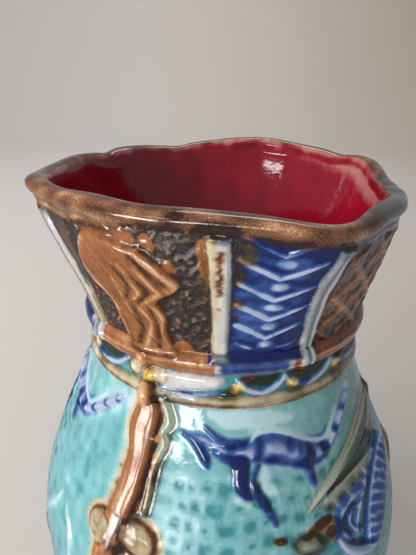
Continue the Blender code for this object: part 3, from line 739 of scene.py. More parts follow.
    def carve_tail(self, wall: Wall) -> None:
        """Raise the fat tail with its pale bands and rim, and its curled end over a pale lip."""
        tail = wall.lay(wall.stroke(self.tail), 2.9, COBALT, spread=0.4, fresh=True)
        wave = np.cos(TURN * (tail.along - 0.030 * tail.across ** 2) / 2.9)
        bands = smooth((wave + 0.10) / 0.9) * smooth((tail.depth - 0.5) / 1.2)
        wall.relief[tail.index] += 0.10 * bands
        wall.lay(tail, tone=0.26 - 0.42 * bands, edge=0.8)
        wall.tone[tail.index] -= 0.50 * bell(tail.depth - 0.9, 0.5) * (tail.across < 0.0)
        wall.apply((self.strand,))
        for places, lift, amount in self.rings:
            ring = wall.lay(wall.stroke(places), lift, COBALT, spread=0.6)
            wall.lay(ring, tone=amount - 0.30 * smooth((0.7 - np.abs(ring.across)) / 0.5), edge=0.8)
        wall.apply(self.lips)
        for step in range(9):
            azimuth = 8.0 + 2.3 * step
            top = 97.0 - 1.15 * step
            blade = (0, top, 1.3), (0.8, top - 5.0, 1.6), (0.4, top - 11.0, 0.9)
            wall.lay(wall.stroke(blade, azimuth), glaze=OLIVE, spread=0.2, add=0.5)


@dataclass
class FootLeaves:
    """The plain leaves that rise from the foot in each bay, creased along their middles."""

    lift: float = 1.2
    spray: tuple[Touch, ...] = tuple(
        Touch(places, 1.0, tone=-0.22, edge=1.4, section=Section.SOFT) for places in (
            ((-93, 84, 3), (-87, 92, 5.5), (-82, 98, 4), (-79, 104, 1)),
            ((-70, 82, 3), (-69, 90, 5), (-71, 97, 3.6), (-75, 103, 1))))

    def carve(self, wall: Wall) -> None:
        """Raise and glaze the leaves of every bay."""
        for left, right in BAYS:
            count = round((right - left) / 30.0)
            for number in range(count):
                azimuth = left + 10.0 + (right - left - 20.0) * (number + 0.5) / count
                self.carve_leaf(wall, azimuth, 6.0 * (number % 2))
        wall.apply(self.spray)

    def carve_leaf(self, wall: Wall, azimuth: float, tall: float) -> None:
        """Raise one leaf, olive at its crease and pale at its edges."""
        places = ((0, 11, 6), (-2, 32, 13.5), (-1.5, 54 + tall, 9.5), (6, 76 + tall, 1.5))
        leaf = wall.lay(wall.stroke(places, azimuth), self.lift, section=Section.PLATE)
        slant = np.cos(TURN * (np.abs(leaf.across) * 0.9 - leaf.along) / 5.0) * smooth(leaf.depth / 1.4)
        wall.relief[leaf.index] += 0.18 * slant
        wall.tone[leaf.index] -= 0.12 * slant
        wall.lay(leaf, glaze=OLIVE, tone=-0.22, edge=1.2, spread=0.1)
        wall.lay(wall.stroke(widened(places, 0.0, 0.0, 1.5), azimuth), tone=0.5, add=-0.7)


@dataclass
class FlowerBand:
    """The band between the beads: a blossom over each branch, and swags with buds between them."""

    foot: float = 148.8
    head: float = 155.2
    start: tuple[Touch, ...] = (
        Touch(((8, 149.6), (7.6, 154.6), (18, 155), (29, 154.6), (28, 151.6), (18, 150.2)),
              0.9, PALE, -0.4, section=Section.PLATE, steps=4),
        Touch(((7, 149.6, 1.3), (18, 148.9, 1.5), (28, 150.2, 1.2)), 1.1, COBALT, -0.35, 0.8, 0.0),
    )
    bud: tuple[Touch, ...] = (
        Touch(((0, 151.6, 1.7, 1.4, 0),), 1.6, YELLOW, -0.2, spread=0.1, section=Section.SOFT),
        Touch(((2, 153.6, 1.8), (5, 154.8, 2.4)), 1.3, BROWN, spread=0.2),
    )
    leaf: tuple[Touch, ...] = (Touch(((0, 150.2, 3.2, 1.3, 12),), 1.2, OLIVE, 0.75, 1.2, 0.2),)
    blossom: tuple[Touch, ...] = (
        Touch(((1.4, 145, 3.4), (0.8, 149, 2.4), (0.6, 153, 2.2), (1.2, 158, 3.6)), 1.4, BROWN, -0.15,
              spread=0.1),
        Touch(((2.9, 151.8, 1.5, 2.7, -16),), 1.9, YELLOW, 0.22, spread=0.2),
    )

    def carve(self, wall: Wall) -> None:
        """Raise and glaze the whole band, bay by bay."""
        for left, right in BAYS:
            self.carve_bay(wall, left, right)
        for azimuth in BRANCH_AZIMUTHS:
            for turn, wide, tall in ((-4.6, 2.4, 2.5), (5.6, 3.0, 2.9)):
                petal = wall.dome(azimuth + turn, 152.8, wide, tall)
                wall.lay(petal, 1.5, CREAM, -0.34, section=Section.SOFT)
                wall.tone[petal.index] += 0.5 * bell(petal.share - 0.95, 0.22)
            wall.apply(self.blossom, azimuth)

    def carve_bay(self, wall: Wall, left: float, right: float) -> None:
        """Hang three swags in a bay, white, dark green and blue, with buds where they meet."""
        middle = 0.5 * (left + right)
        wall.lay(wall.field(self.foot - 0.4, self.head, left, right), tone=0.22)
        wall.apply(self.start, left)
        swags = (middle - 28.0, middle - 11.0, middle + 11.0, right - 9.0)
        for start, end in zip(swags, swags[1:]):
            self.carve_swag(wall, start, end)
        for turn in (-28.0, -8.0, 14.0):
            wall.apply(self.bud, middle + turn)
        for turn in (-31.0, -5.0, 17.0):
            wall.apply(self.leaf, middle + turn)

    def carve_swag(self, wall: Wall, start: float, end: float) -> None:
        """Hang one swag: a pale blue cord round a dark hatched field."""
        centre = 0.5 * (start + end)
        half = centre - start
        lens = wall.patch(((1.0 - half, 154.6), (0, 155), (half - 1.0, 154.6), (0, 150.6)), centre)
        wall.lay(lens, glaze=OLIVE, tone=0.60, spread=0.2)
        hatch = np.cos(TURN * (np.radians(wall.azimuth[lens.index]) * wall.radius[lens.index]) / 1.5)
        hatch *= smooth(lens.depth / 0.8)
        wall.relief[lens.index] += 0.22 * hatch
        wall.tone[lens.index] -= 0.25 * hatch
        cord = wall.stroke(((-half, 153.8, 1.4), (-0.6 * half, 151.2, 2), (0, 150.2, 2.3),
                            (0.6 * half, 151.2, 2), (half, 153.8, 1.4)), centre)
        wall.lay(cord, 1.3, COBALT, -0.55, spread=0.0)
        wall.clear(cord, 0.0, OLIVE)


@dataclass
class Beads:
    """The colours of the cord and the ring."""

    brown_spans: Places = ((-77, -27.5), (0, 60), (100, 150), (-158, -114))
    blue_spans: Places = ((-27.5, 0), (60, 100), (-114, -77))

    def carve(self, wall: Wall) -> None:
        """Glaze the cord cream and the ring in turns of brown and blue."""
        around = (-179.99, 179.99)
        everywhere = slice(None)
        cord = wall.field(FORM.cord - 1.9, FORM.cord + 1.8, *around)
        wall.lay(cord, None, CREAM, 0.18 * wall.ripple(13.0, 41, cord.index) + 0.30, 0.8, 0.1)
        wall.lay(wall.field(FORM.cord + 0.2, FORM.cord + 1.6, *around), tone=-0.3, edge=0.8)
        seam = FORM.cord + 0.1 + 0.25 * wall.ripple(30.0, 42, rise=0.0)
        wall.cover(OLIVE, everywhere, 0.1 - np.abs(wall.level - seam))
        under = 146.5 + 0.30 * np.sin(np.radians(wall.azimuth) * 9.0)
        wall.cover(BROWN, everywhere, 0.24 - np.abs(wall.level - under))
        # Painted shade: a narrow band of dark olive glaze in the crease just over the cord.
        wall.lay(wall.field(FORM.cord + 1.5, FORM.cord + 3.2, *around), glaze=OLIVE, spread=-0.5)
        wall.lay(wall.field(FORM.ring - 3.3, FORM.ring + 3.4, *around), glaze=PALE, spread=0.2)
        for spans, glaze, amount, spread in ((self.brown_spans, BROWN, -0.18, 0.2),
                                             (self.blue_spans, COBALT, 0.16, -1.9)):
            for span in spans:
                part = wall.field(FORM.ring - 3.5, FORM.ring + 3.6, *span)
                wall.lay(part, None, glaze, amount, 2.0, spread)
                wall.lay(wall.field(FORM.ring - 3.4, FORM.ring - 1.2, *span), tone=0.34, edge=1.2)
        stripes = np.cos(TURN * wall.level / 2.1) * np.exp(-((wall.level - FORM.ring) / 3.0) ** 4)
        wall.relief += 0.14 * stripes
        wall.tone -= 0.14 * stripes


HOLLOWS = (
    ((-49.4, 190.2, 1.2), (-45, 187, 1.8), (-40.8, 183.6, 1.6)),
    ((-50.4, 184.6, 1.4), (-46, 181, 2.2), (-49.4, 177.2, 1.6)),
    ((-55, 186.4, 1), (-52, 181.4, 1.6), (-54.4, 177, 1.2)),
    ((-52.4, 175.4, 1.8), (-50.4, 169, 2.2), (-53.8, 162.6, 1.4)),
    ((-46.2, 175.4, 1.4), (-44.8, 169.6, 2), (-45.4, 163, 1.4)),
    ((-58, 172, 1.2), (-56.6, 166, 1.6), (-55.6, 161.6, 1)),
)
RIBS = (
    ((-47.6, 192.2, 0.8), (-45.5, 189.4, 1.1), (-41.7, 186.8, 1.3), (-38.5, 185, 1.4), (-36.9, 183.4, 1.2),
     (-39.9, 180.4, 0.8)),
    ((-48.4, 187, 0.7), (-45.7, 184.7, 1.2), (-43.6, 182.6, 1.3), (-42.2, 181.2, 1.3), (-46, 178.8, 1.2),
     (-48.8, 176.6, 0.8)),
    ((-53.4, 187.6, 0.6), (-51.1, 185.1, 1), (-49.6, 182.3, 1.2), (-48.6, 180.4, 1.1), (-51, 178, 0.8)),
    ((-57, 183, 0.6), (-54.8, 178.6, 0.9), (-53, 173.4, 0.6)),
    ((-65.4, 192.6, 0.9), (-68.4, 187.1, 1.1), (-67, 181.6, 1), (-60.3, 176.5, 1), (-58.3, 171.4, 0.9),
     (-57, 165, 0.8)),
    ((-49.6, 175.4, 0.9), (-46.4, 171.9, 1.3), (-48.2, 166.8, 1.4), (-50.6, 162.2, 0.9)),
    ((-44.2, 176.4, 0.8), (-42.4, 173.2, 1.2), (-43.2, 168.8, 1.2), (-41.4, 164, 0.9)),
)
SPOTS = (
    ((-68, 197.4), (-66, 193.4), (-58, 193.8), (-50, 192.4), (-47, 194), (-52, 197.6)),
    ((-46.6, 194.8), (-44.4, 196.4), (-42.2, 194.2), (-42.8, 191.6), (-45.4, 192.4)),
    ((-41, 190.4), (-38, 189.6), (-37.4, 186.6), (-39.8, 187.2)),
    ((-31.8, 195), (-28.6, 195.4), (-28.6, 185), (-31, 187)),
    ((-41, 164.6), (-37, 166.4), (-34, 163), (-34, 161), (-41, 161)),
)
SMUDGES = (
    ((-12, 197), (-7.6, 196.4), (-6, 191.6), (-8.4, 190.2), (-12.2, 190.6)),
    ((-12, 189.6), (-8.6, 188.2), (-9, 185.6), (-12, 184.4)),
    ((-12, 180.6), (-8.2, 180), (-9, 178.2), (-12, 177.6)),
    ((-12, 175.8), (-9.8, 175), (-10.4, 173.2), (-12, 173)),
    ((8.2, 184.4), (10.8, 183.6), (10.8, 180.8), (9.4, 181)),
)


@dataclass
class CollarPanels:
    """The collar's panels: brown leaves on bark, blue chevrons and a brown lattice, with bands between."""

    foot: float = 162.4
    head: float = 203.0
    top: float = 210.0
    leaf_azimuth: float = -49.5
    lattice: tuple[float, float] = (5.0, 58.0)
    leaf_panels: Places = ((-49.5, -73.5, -28.6), (-136, -157, -117.5), (122, 99, 147.5))
    blue_panels: Places = ((-11.4, -23.2, 0, 1), (-100, -111.6, -87, 0), (79, 64.5, 91.5, 0))
    bands: Places = ((-26.4, 1, 1), (-114.5, 1, 0), (61.5, 1, 0), (150, 0.7, 0), (-158, 0.7, 0))
    keels: Places = ((0, 1), (-79.6, 1), (95, 0.9))
    chevrons: int = 5
    chevron_pitch: float = 6.3
    band_left: Places = ((163, -2.2), (172, -1.8), (180, -2), (190.5, -2.6), (197.1, -3.2))
    band_right: Places = ((163, 3.7), (171, 3.6), (180, 3.4), (191, 3.1), (197, 2.9))
    cream_right: Places = ((163, -1.2), (172, -0.9), (180, -0.4), (190.5, -0.4), (197.1, -0.7))
    keel_left: Places = ((160, 2.6), (163.6, 1.9), (171.3, -0.4), (179.5, -2.1), (186, -2.2), (193, -0.4))
    keel_right: Places = ((160, 7.4), (162.4, 6.5), (171.9, 4.5), (181.9, 2.3), (191.4, 2.8), (194, 3.9))
    leaf: Places = (
        (-66.1, 192.8), (-62, 194.4), (-57.5, 194.2), (-50.6, 192.8), (-45.6, 191.7), (-41.3, 189.1),
        (-38.9, 186.8), (-35.9, 183.6), (-39.9, 180.2), (-43.5, 177.3), (-41.6, 173.6), (-42.4, 168.6),
        (-40.6, 163.9), (-40, 161), (-55.8, 160.6), (-58.8, 164.6), (-60.9, 170.7), (-61, 175.4),
        (-66.6, 179.6), (-69.2, 185.6))

    def carve(self, wall: Wall) -> None:
        """Raise and glaze every panel, then the bands that part them."""
        if wall.level.max() < self.foot:
            return
        collar = np.flatnonzero(wall.level > self.foot - 0.4)
        wall.glazes[BARK][collar] = wall.level[collar] - self.foot + 0.4
        for centre, left, right in self.leaf_panels:
            self.carve_leaf_panel(wall, centre - self.leaf_azimuth, left, right)
        self.carve_lattice(wall, *self.lattice)
        for centre, left, right, buttons in self.blue_panels:
            self.carve_blue_panel(wall, centre, left, right, buttons > 0.0)
        for azimuth, width, lettered in self.bands:
            self.carve_band(wall, azimuth, width)
            if lettered:
                self.touch_band(wall, azimuth)
        for azimuth, width in self.keels:
            self.carve_keel(wall, azimuth, width)

    def between(self, wall: Wall, azimuth: float, width: float, left: Places, right: Places) -> Mark:
        """An upright band whose sides are given as places of level and turn, scaled in width."""
        sides = [tuple((level, azimuth + turn * width) for level, turn in side) for side in (left, right)]
        return wall.field(left[0][0] - 2.4, self.head, *sides)

    def carve_leaf_panel(self, wall: Wall, shift: float, left: float, right: float) -> None:
        """Carve the lumpy bark, and on it the spread leaf with its bent ribs."""
        panel = wall.field(self.foot, self.top, left, right)
        index = panel.index
        drift = 1.5 * wall.ripple(15.0, 11, index) + 0.9 * wall.ripple(4.6, 13, index)
        course = (wall.level[index] + drift) / 4.4
        row = np.floor(course)
        up = course - row
        along = np.radians(wall.azimuth[index]) * wall.radius[index] + 1.9 * drift
        stone = along / (5.4 + 1.8 * np.cos(2.7 * row)) + 0.37 * row
        over = np.abs(2.0 * (stone - np.floor(stone)) - 1.0)
        ledge = up ** 1.6 * smooth((1.0 - up) / 0.16) * (1.0 - smooth((over - 0.86) / 0.12))
        rough = wall.ripple(2.2, 14, index, 0.8, 1.9, waves=16)
        inside = smooth(panel.depth / 0.8)
        wall.relief[index] += inside * (0.75 * ledge + 0.10 * rough)
        crust = smooth((up - 0.42) / 0.3) * smooth((0.97 - up) / 0.12) * smooth(0.5 + 0.9 * rough)
        wall.tone[index] += inside * (0.56 - 0.70 * crust - 0.10 * rough)
        leaf = wall.patch(self.leaf, shift)
        wall.cover(BROWN, leaf.index, leaf.depth + 0.5 + 0.9 * wall.ripple(4.0, 62, leaf.index))
        wall.lay(leaf, 1.55, section=Section.PLATE, fresh=True)
        wall.tone[leaf.index] += 0.26 * bell(leaf.depth, 0.7)
        slant = wall.azimuth[leaf.index] + 0.9 * wall.level[leaf.index]
        grain = ripple(slant, 0.05 * wall.level[leaf.index], 2.6, 12, waves=12)
        wall.relief[leaf.index] += 0.04 * grain * smooth(leaf.depth / 0.8)
        wall.lay(leaf, tone=0.12 * grain + 0.10, edge=0.8)
        for places in HOLLOWS:
            wall.lay(wall.stroke(places, shift), tone=0.26, edge=1.8, add=-0.45)
        for places in RIBS:
            wall.lay(wall.stroke(places, shift), tone=-0.36, edge=1.4, add=0.60)
        for outline in SPOTS:
            wall.lay(wall.patch(outline, shift), None, BROWN, -0.05, 1.4, 0.0, fresh=True)

    def carve_lattice(self, wall: Wall, left: float, right: float) -> None:
        """Carve the brown lattice of slanting cords, darker at its foot."""
        panel = wall.lay(wall.field(self.foot, self.top, left, right), glaze=BROWN, spread=0.0)
        index = panel.index
        rise = wall.level[index] - self.foot
        turn = wall.azimuth[index]
        cords = np.zeros(index.size)
        for slope in (1.0, -1.0):
            phase = (rise - slope * 0.606 * (turn - 33.0)) / 11.0
            cords = np.maximum(cords, bell(phase - np.round(phase), 0.085))
        diamond = np.cos(TURN * (rise + 0.606 * turn) / 5.5) * np.cos(TURN * (rise - 0.606 * turn) / 5.5)
        inside = smooth(panel.depth / 0.8)
        wall.relief[index] += inside * (0.85 * cords + 0.16 * diamond)
        wall.tone[index] -= inside * (0.20 * cords + 0.16 * diamond)
        wall.tone[index] += 0.22 * smooth(panel.depth) + 0.40 * smooth((9.0 - rise) / 8.0)

    def carve_blue_panel(self, wall: Wall, centre: float, left: float, right: float, buttons: bool) -> None:
        """Carve the blue panel: nested chevrons, an oval under each point, and brushed smudges of bark."""
        panel = wall.field(self.foot - 1.8, self.top, left, right)
        wall.lay(panel, glaze=COBALT, tone=0.30, spread=0.0)
        brushed = ((-10.5, 183), (-4, 181), (-1, 175), (-2, 167), (-9.5, 170))
        wall.lay(wall.patch(brushed, centre), tone=-0.22, edge=2.4)
        streaks = wall.ripple(7.0, 17, panel.index, rise=2.6, waves=9)
        wall.tone[panel.index] -= 0.13 * streaks * smooth(panel.depth)
        deep = wall.field(self.foot, self.top, ((0.0, centre + 3.0), (220.0, centre + 6.0)), right)
        wall.lay(deep, tone=0.22, edge=3.0)
        for number in range(self.chevrons + 1):
            point = self.foot + 5.8 + self.chevron_pitch * number
            ends = ((-10, point + 4.4, 1.4), (-5, point + 2.3, 1.5), (-0.4, point, 1.5),
                    (4.4, point + 2.2, 1.3), (9, point + 4.6, 0.9))
            wall.lay(wall.stroke(ends, centre, steps=1), 0.95, tone=-0.74, edge=0.9, section=Section.SOFT)
            if buttons:
                oval = wall.dome(centre + 0.1, point - 2.3, 2.1, 1.45)
                wall.lay(oval, 0.8, tone=-0.62, section=Section.SOFT)
        for bar in (((-9, self.foot + 4.0, 1.2), (-4.8, self.foot + 2.4, 1.2)),
                    ((4.4, self.foot + 2.2, 1.2), (9.6, self.foot + 3.4, 1))):
            wall.lay(wall.stroke(bar, centre, steps=1), 0.8, tone=-0.60, edge=0.9, section=Section.SOFT)
        for outline in SMUDGES:
            smudge = wall.lay(wall.patch(outline, centre), tone=0.15)
            wall.clear(smudge, 0.1, COBALT)
        groove = wall.field(self.foot - 1.8, self.foot + 1.2, left - 6.0, right + 3.0)
        wall.lay(groove, glaze=COBALT, tone=0.85)

    def carve_band(self, wall: Wall, azimuth: float, width: float) -> None:
        """Raise a broad upright band, white with a cream edge at its left."""
        band = self.between(wall, azimuth, width, self.band_left, self.band_right)
        wall.lay(band, 1.1, PALE, -0.10, spread=0.2, section=Section.PLATE)
        wall.clear(band, -0.1, BARK, BROWN, COBALT)
        wall.tone[band.index] += 0.10 * wall.ripple(9.0, 19, band.index, 3.0)
        cream = self.between(wall, azimuth, width, self.band_left, self.cream_right)
        wall.lay(cream, None, CREAM, 0.18, 1.4, 0.4)
        wall.clear(cream, -0.5, BARK)

    def touch_band(self, wall: Wall, azimuth: float) -> None:
        """Dab a row of small uneven brown touches down a band, like worn brushwork."""
        draw = np.random.default_rng(26)
        for number in range(15):
            turn = azimuth + 0.5 + draw.uniform(-0.35, 0.35)
            touch = wall.dome(turn, 182.4 + 0.80 * number, draw.uniform(0.45, 0.85), draw.uniform(0.28, 0.48),
                              draw.uniform(-50, 50))
            wall.lay(touch, None, BROWN, 0.55, 0.8, 0.15)
        wall.lay(wall.dome(azimuth + 0.4, 178.2, 0.5, 0.5), glaze=BROWN, spread=0.15)

    def carve_keel(self, wall: Wall, azimuth: float, width: float) -> None:
        """Raise a narrow upright band with a groove down it, in thin glaze that is bluer at its left."""
        sides = ((160.0, 1.4), (194.0, -5.2)), ((160.0, 6.8), (194.0, -0.2))
        if azimuth == 0.0:
            sides = self.keel_left, self.keel_right
        keel = self.between(wall, azimuth, width, *sides)
        wall.cover(PALE, keel.index, keel.depth + 0.5)
        wall.clear(keel, 0.3, BARK, BROWN, COBALT)
        groove = bell(keel.across - 0.15, 0.38)
        raised = smooth(keel.depth / 0.6 + 0.4)
        wall.relief[keel.index] += raised * (1.0 - 0.55 * groove)
        wall.lay(keel, fresh=True)
        left_side = smooth((0.3 - keel.across) / 0.6)
        wall.tone[keel.index] += raised * (0.10 + 0.30 * left_side + 0.50 * groove)
        if azimuth < -50.0:
            for left, right, head, amount in ((-78.0, -74.6, 200.0, -0.1), (-74.2, -71.4, 177.0, 0.2)):
                stain = wall.field(self.foot, head, ((160.0, left), (head, left - 0.15 * (head - 170.0))),
                                   ((160.0, right), (head, right - 0.22 * (head - 165.0))))
                wall.lay(stain, glaze=CREAM, tone=amount, spread=0.2)
                wall.clear(stain, 0.0, BARK)


@dataclass
class Rim:
    """The brown rolled rim, unevenly glazed and taller at the pouring lip, with a rose edge inside."""

    lump: float = 0.16
    rose_way: float = 10.4
    drops: Places = (
        (-180, 5), (-90, 6.2), (-65, 6.6), (-57, 5.7), (-48, 4.6), (-40, 4), (-31, 3.6), (-27.5, 5),
        (-17, 5.2), (-5, 5.2), (5, 5.8), (19, 7.8), (40, 8), (60, 6), (100, 5.2), (180, 5))
    # Dabs of darker and lighter glaze: the dark patch at -26.6 is a stain, and the lighter dabs near the top
    # at -19 and -9 are painted highlight.
    spots: Places = ((-26.6, 3.4, 4.2, 2.4, 0.95), (-38, 2.6, 6, 1.6, 0.30), (-19, 1.4, 5, 1, -0.30),
                     (-9, 1.6, 6, 0.9, -0.26), (-58, 1.4, 6.5, 0.9, 0.30), (-50, 3, 5, 1.2, -0.2))

    def carve(self, wall: Wall) -> None:
        """Glaze the roll, take the panels off it and work its lumps."""
        if wall.level.max() < 190.0:
            return
        way = wall.arc - FORM.arc(FORM.rim(wall.azimuth) - FORM.roll_height)
        table = np.array(self.drops)
        drop = np.interp(wall.azimuth, table[:, 0], table[:, 1])
        cover = way + drop - FORM.roll_height + 0.35 * wall.ripple(16.0, 21, rise=0.3)
        on_roll = smooth((cover + 0.2) / 1.0)
        for glaze in (PALE, CREAM, COBALT, YELLOW, OLIVE):
            wall.glazes[glaze] = np.minimum(wall.glazes[glaze], -cover - 0.4)
        wall.glazes[UMBER] = np.minimum(cover + 0.6, 8.9)
        wall.relief *= 1.0 - on_roll
        wall.relief += on_roll * (self.lump * (wall.ripple(21.0, 22) - 1.1) + 0.6 * smooth((0.6 - way) / 1.4))
        wall.relief += 0.12 * on_roll * np.cos(TURN * way / 2.9) * smooth((3.0 - way) / 1.0)
        wall.tone *= 1.0 - on_roll
        streaks = ripple(0.5 * wall.azimuth, 2.0 * way, 7.0, 23, waves=14)
        wall.tone += on_roll * (0.16 + 0.17 * streaks + 0.10 * wall.ripple(11.0, 24))
        self.shade(wall, way, cover, on_roll)
        inner = way - self.rose_way
        wall.cover(ROSE, slice(None), inner)
        wall.tone -= 0.45 * smooth((inner + 0.8) / 0.8) * smooth((2.0 - inner) / 1.6)

    def shade(self, wall: Wall, way: Array, cover: Array, on_roll: Array) -> None:
        """Paint a shadow under the roll and shade on its lower part at the right, darken its right end, let
        the glaze run thin on the left corner, and dab on spots, two of them a painted highlight along its
        top.
        """
        right = smooth(turn_between(wall.azimuth, -30.0) / 8.0) * smooth((70.0 - wall.azimuth) / 10.0)
        dark_end = smooth((wall.azimuth - 2.0) / 12.0) * smooth((80.0 - wall.azimuth) / 12.0)
        # Painted shadow under the roll's foot, strongest at the right where the roll overhangs.
        wall.tone += (0.35 + 0.65 * right) * bell(cover + 0.9, 1.1)
        # Painted shade on the roll's lower part at the right; the right end is darker and the left corner
        # thinner.
        wall.tone += on_roll * (0.42 * right * smooth((2.6 - way) / 3.2) - 0.04 + 0.55 * dark_end
                                - 0.18 * bell(turn_between(wall.azimuth, -70.0), 16.0))
        for azimuth, drop, wide, tall, amount in self.spots:
            spot = wall.dome(azimuth, float(FORM.rim(np.array(azimuth))) - drop, wide, tall)
            wall.lay(spot, tone=amount, edge=2.2)


CARVINGS = (Ground(), FootLeaves(), Branches(), Beasts(), LowScene(), FlowerBand(), Beads(),
            CollarPanels(), Rim())


class Side(Enum):
    """Which part of the wall a row of points belongs to."""

    OUTSIDE = 0
    LINING = 1
    UNDERSIDE = 2


@dataclass
class Row:
    """One row of points round a ring, with its radii and heights at each azimuth."""

    radius: Array
    height: Array
    arc: Array
    side: Side = Side.OUTSIDE
    crease: bool = False


def plain_row(azimuth: Array, radius: Amount, height: Amount, side: Side = Side.OUTSIDE) -> Row:
    """A row of points at some radii and heights."""
    level = np.zeros_like(azimuth) + height
    return Row(np.zeros_like(azimuth) + radius, level, FORM.arc(level), side)


def outer_row(azimuth: Array, height: Amount) -> Row:
    """A row of points on the outside with its beads."""
    level = np.zeros_like(azimuth) + height
    return plain_row(azimuth, FORM.outer(azimuth, level) + FORM.beads(level), level)


@dataclass
class Ring:
    """One ring of the vessel, from a lower seam to an upper one, carved outside and plain inside."""

    name: str
    low: float
    high: float
    row_step: float
    lining_step: float = 4.0
    fine_step: float = 0.5
    plain_step: float = 1.0
    fine_from: float = -100.0
    fine_to: float = 62.0
    blur: int = 4
    closed: bool = True

    def azimuths(self) -> Array:
        """The columns' azimuths: close together at the front, wider apart behind."""
        fine = np.arange(self.fine_from, self.fine_to, self.fine_step)
        plain = np.arange(self.fine_to, self.fine_from + 360.0 - 0.5 * self.plain_step, self.plain_step)
        return np.concatenate((fine, plain))

    def outside(self, azimuth: Array) -> list[Row]:
        """The rows of the outside, from the lower seam to the upper one."""
        heights = np.linspace(self.low, self.high, 1 + math.ceil((self.high - self.low) / self.row_step))
        return [outer_row(azimuth, height) for height in heights]

    def lining(self, azimuth: Array, top: Array, foot: float) -> list[Row]:
        """The rows of the lining from a top, which may wave, down to a level foot."""
        count = 1 + math.ceil((float(top.mean()) - foot) / self.lining_step)
        rows = []
        for share in np.linspace(0.0, 1.0, count):
            height = top + (foot - top) * share
            rows.append(plain_row(azimuth, FORM.outer(azimuth, height) - FORM.wall, height, Side.LINING))
        return rows

    def rows(self, azimuth: Array) -> list[Row]:
        """All the rows of the ring, in order round its section."""
        outside = self.outside(azimuth)
        inside = self.lining(azimuth, np.full_like(azimuth, self.high), self.low)
        for row in (outside[0], outside[-1], inside[0], inside[-1]):
            row.crease = True
        return outside + inside

    def build(self, material: bpy.types.Material) -> None:
        """Make the ring's mesh, carve it and dress it in a material."""
        azimuth = self.azimuths()
        rows = self.rows(azimuth)
        radius, height, arc = np.array([(row.radius, row.height, row.arc) for row in rows]).swapaxes(0, 1)
        turn = np.broadcast_to(azimuth, radius.shape)
        carved = [number for number, row in enumerate(rows) if row.side is Side.OUTSIDE]
        part = slice(carved[0], carved[-1] + 1)
        wall = Wall(turn_between(turn[part], 0.0), height[part], radius[part], arc[part])
        for carving in CARVINGS:
            carving.carve(wall)
        wall.settle(self.blur)
        points = np.stack((radius * np.cos(np.radians(turn)), radius * np.sin(np.radians(turn)), height), -1)
        around = np.roll(points, -1, axis=1) - np.roll(points, 1, axis=1)
        normals = np.cross(around, np.gradient(points, axis=0))
        normals /= np.linalg.norm(normals, axis=-1, keepdims=True) + 1e-12
        points[part] += normals[part] * wall.relief.reshape(wall.shape)[..., None]
        values = {"tone": wall.tone, "satin": wall.satin}
        values.update((glaze.value, cover) for glaze, cover in wall.glazes.items())
        for name, given in values.items():
            values[name] = np.full(radius.shape, {"tone": 0.5, "satin": 0.0}.get(name, -FAR))
            values[name][part] = given.reshape(wall.shape)
        for number, row in enumerate(rows):
            if row.side is Side.LINING:
                values[ROSE.value][number] = FAR
                values["tone"][number] = self.lining_tone(azimuth, row.height)
            elif row.side is Side.UNDERSIDE:
                values[BISCUIT.value][number] = FAR
        creases = [number for number, row in enumerate(rows) if row.crease]
        piece = tube(self.name, points * MM, creases, self.closed, caps=0 if self.closed else 2)
        dress(piece, material, values)

    def lining_tone(self, azimuth: Array, height: Array) -> Array:
        """How thick the rose glaze lies: thin at the mouth's edge and thick further down, with painted light
        that makes the side round azimuth 76 paler.
        """
        drop = FORM.rim(azimuth) - height
        # Painted light: the lining round azimuth 76, on the side the window lights, is thinned and paled.
        painted_light = bell(turn_between(azimuth, 76.0), 46.0)
        thin = (0.16 + 0.46 * painted_light) * smooth((5.4 + 5.0 * painted_light - drop) / 5.0)
        return 0.66 - thin - 0.10 * painted_light + 0.05 * ripple(azimuth, height, 26.0, 31)


@dataclass
class Collar(Ring):
    """The flared collar, with its panels, its waved and rolled rim, and the mouth's lining."""

    lip: Places = (
        (0, 5), (-1, 3.9), (-1.4, 2.7), (-1, 1.3), (0.3, 0.35), (2.2, 0), (3.9, 0.35), (4.9, 1.4),
        (5.2, 3))
    lip_steps: int = 3

    def outside(self, azimuth: Array) -> list[Row]:
        """The rows of the panels, then those of the rolled rim."""
        rim = FORM.rim(azimuth)
        shoulder = rim - FORM.roll_height
        count = 1 + math.ceil((float(shoulder.mean()) - self.low) / self.row_step)
        shares = np.linspace(0.0, 1.0, count)
        rows = [outer_row(azimuth, self.low + (shoulder - self.low) * share) for share in shares]
        way = rows[-1].arc
        before = np.array(self.lip[0])
        for place in curve_through(self.lip, self.lip_steps)[1:]:
            level = rim - place[1]
            way = way + math.dist(place, before)
            before = place
            rows.append(Row(FORM.outer(azimuth, level) - place[0], level, way))
        return rows

    def rows(self, azimuth: Array) -> list[Row]:
        """All the rows, creased only at the seam."""
        outside = self.outside(azimuth)
        inside = self.lining(azimuth, FORM.rim(azimuth) - self.lip[-1][1], self.low)[1:]
        outside[0].crease = inside[-1].crease = True
        return outside + inside


